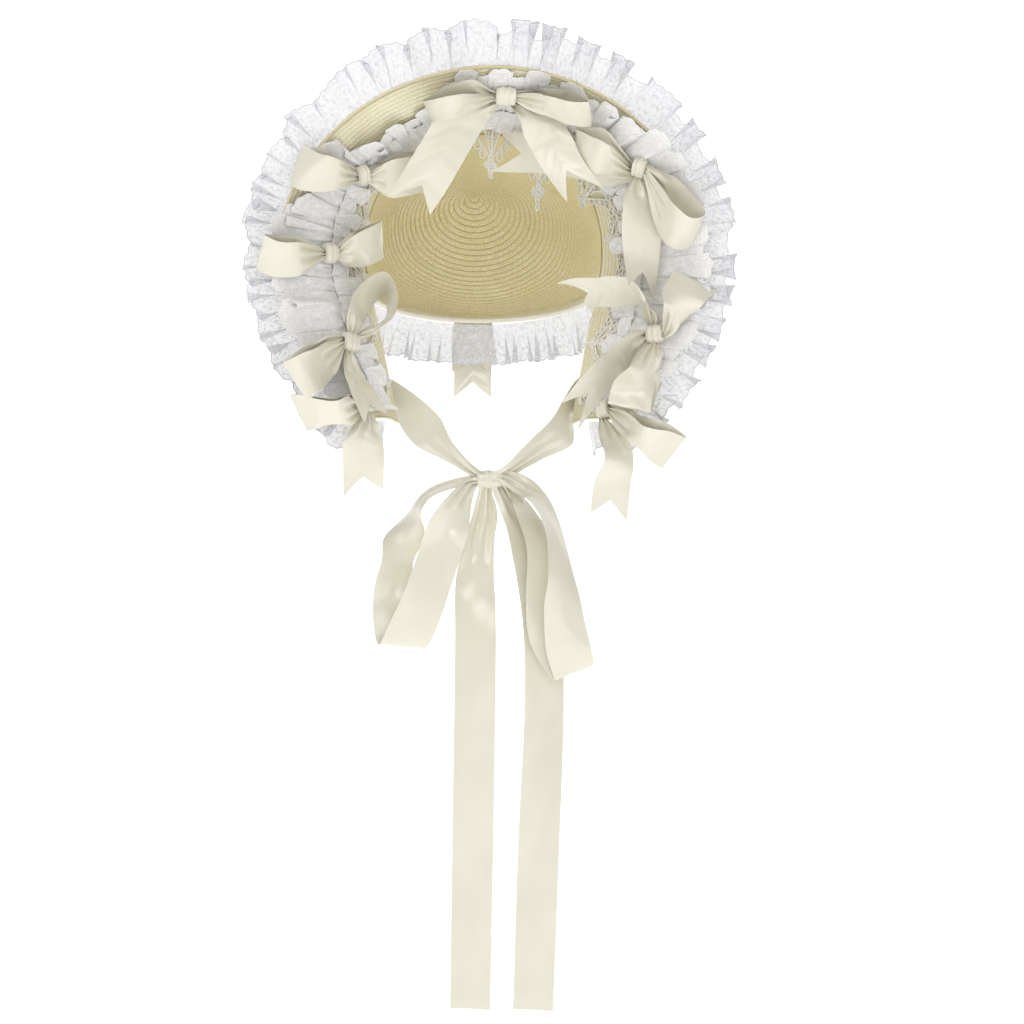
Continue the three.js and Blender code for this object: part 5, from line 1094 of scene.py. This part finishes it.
knot_places = {}
for name, (at, share, long, wide, deep) in BRIM_KNOTS.items():
    normal = brim_normal(np.array(at), np.array(share))
    long_way = unit(np.array([1.0, 0, 0]) - normal * normal[0])
    wide_way = np.cross(normal, long_way)
    knot_places[name] = (on_brim(at, share, KNOT_HEIGHT), long_way, wide_way, long, wide, deep)
for name, (x, y, z, long, wide, deep) in FREE_KNOTS.items():
    ways = np.array([1.0, 0, 0]), np.array([0, 0, 1.0])
    knot_places[name] = (np.array([x, y, z]), *ways, long, wide, deep)

straw_brim()
straw_crown()
frill("edge_frill_lace", "edge_frill", EDGE_WAVES, 31.0, edge_frill_point, samples=32, rows=32)


def outward_end(at):
    """The outward frill ends near the brim's edge, and farther in by two bows on the left"""
    bare = 0.30 * smooth(-3.1, -2.6, at) * smooth(-0.6, -1.2, at)
    bare = bare + 0.2 * smooth(-4.3, -3.9, at) * smooth(-3.0, -3.4, at)
    return lerp(0.98, 1.1, smooth(1.2, 3.2, np.abs(at))) - bare


def inward_end(at):
    return lerp(0.19, np.where(at > 0, 0.38, 0.32), smooth(1.0, 3.0, np.abs(at)))


outward = inner_frill_point(28, 0.504, outward_end, base_height=1.2, seed=3, curl=5.2)
frill("outward_frill_lace", "outward_frill", 28, 46.0, outward, samples=32, rows=34, material=thick_lace,
      cord_made_of=bright_cord)
inward = inner_frill_point(25, 0.522, inward_end, base_height=2.3, seed=7, curl=3.4)
frill("inward_frill_lace", "inward_frill", 25, 32.0, inward, material=thick_lace, cord_made_of=bright_cord)
frill("nape_frill_lace", "nape_frill", NAPE_WAVES, 33.0, nape_frill_point)
binding()
guipure()
for name, (notch, rows) in RIBBONS.items():
    key = "chin_knot" if name.startswith("chin") else name.split("_bow_")[0] + "_bow_knot"
    ribbon(name, notch, rows, knot_places[key][0])
for name, values in knot_places.items():
    knot(name, *values)


# Floor, backdrop, light and camera, in metres
FLOOR = -0.675
BACK = 2.6
SPAN = 4.0
TOP = 3.0
PAPER_SHADE = (0.9, 0.9, 0.9, 1)
PAPER_GLOW = 0.62
SKY_LIGHT = 0.39
WHITE = (1, 1, 1, 1)
# Lights: name, place, size and power
LIT_MIDDLE = Vector((0.0, -0.03, -0.12))
LIGHTS = (
    ("key", (-0.9, -1.8, 1.2), 2.0, 14.5),
    ("front", (0.15, -2.3, 0.35), 0.9, 5.5),
    ("fill", (1.7, -1.6, 0.2), 1.8, 2.5),
)
CAMERA_TURN = math.radians(-5.5)
CAMERA_DISTANCE = 1.789
CAMERA_LENS = 85
CAMERA_SENSOR = 36
TARGET = Vector((0.0148, -0.080, -0.286))


def flat_panel(name, corners, material):
    mesh = bpy.data.meshes.new(name)
    mesh.from_pydata(corners, [], [(0, 1, 2, 3)])
    mesh.materials.append(material)
    obj = new_object(name, mesh)


def look_at(obj, place, target):
    obj.location = place
    obj.rotation_mode = "QUATERNION"
    obj.rotation_quaternion = (target - place).to_track_quat("-Z", "Y")


paper = bpy.data.materials.new("white paper")
paper.use_nodes = True
paper_inputs = node_of(paper.node_tree, "BSDF_PRINCIPLED").inputs
paper_inputs["Base Color"].default_value = PAPER_SHADE
paper_inputs["Roughness"].default_value = 1.0
paper_inputs["Emission Color"].default_value = WHITE
paper_inputs["Emission Strength"].default_value = PAPER_GLOW
low_edge = [(-SPAN, BACK, FLOOR), (SPAN, BACK, FLOOR)]
flat_panel("floor", [(-SPAN, -SPAN, FLOOR), (SPAN, -SPAN, FLOOR), *low_edge[::-1]], paper)
flat_panel("backdrop", [*low_edge, (SPAN, BACK, TOP), (-SPAN, BACK, TOP)], paper)

for name, place, size, power in LIGHTS:
    data = bpy.data.lights.new(name, "AREA")
    data.shape = "DISK"
    data.size = size
    data.energy = power
    look_at(new_object(name, data), Vector(place), LIT_MIDDLE)
world = bpy.data.worlds.new("studio")
world.use_nodes = True
sky_inputs = node_of(world.node_tree, "BACKGROUND").inputs
sky_inputs["Color"].default_value = WHITE
sky_inputs["Strength"].default_value = SKY_LIGHT
bpy.context.scene.world = world
bpy.context.scene.view_settings.view_transform = "Standard"

backward = Vector((math.sin(CAMERA_TURN), -math.cos(CAMERA_TURN), 0))
camera_data = bpy.data.cameras.new("camera")
camera_data.lens = CAMERA_LENS
camera_data.sensor_width = CAMERA_SENSOR
camera = new_object("camera", camera_data)
look_at(camera, TARGET + backward * CAMERA_DISTANCE, TARGET)
bpy.context.scene.camera = camera
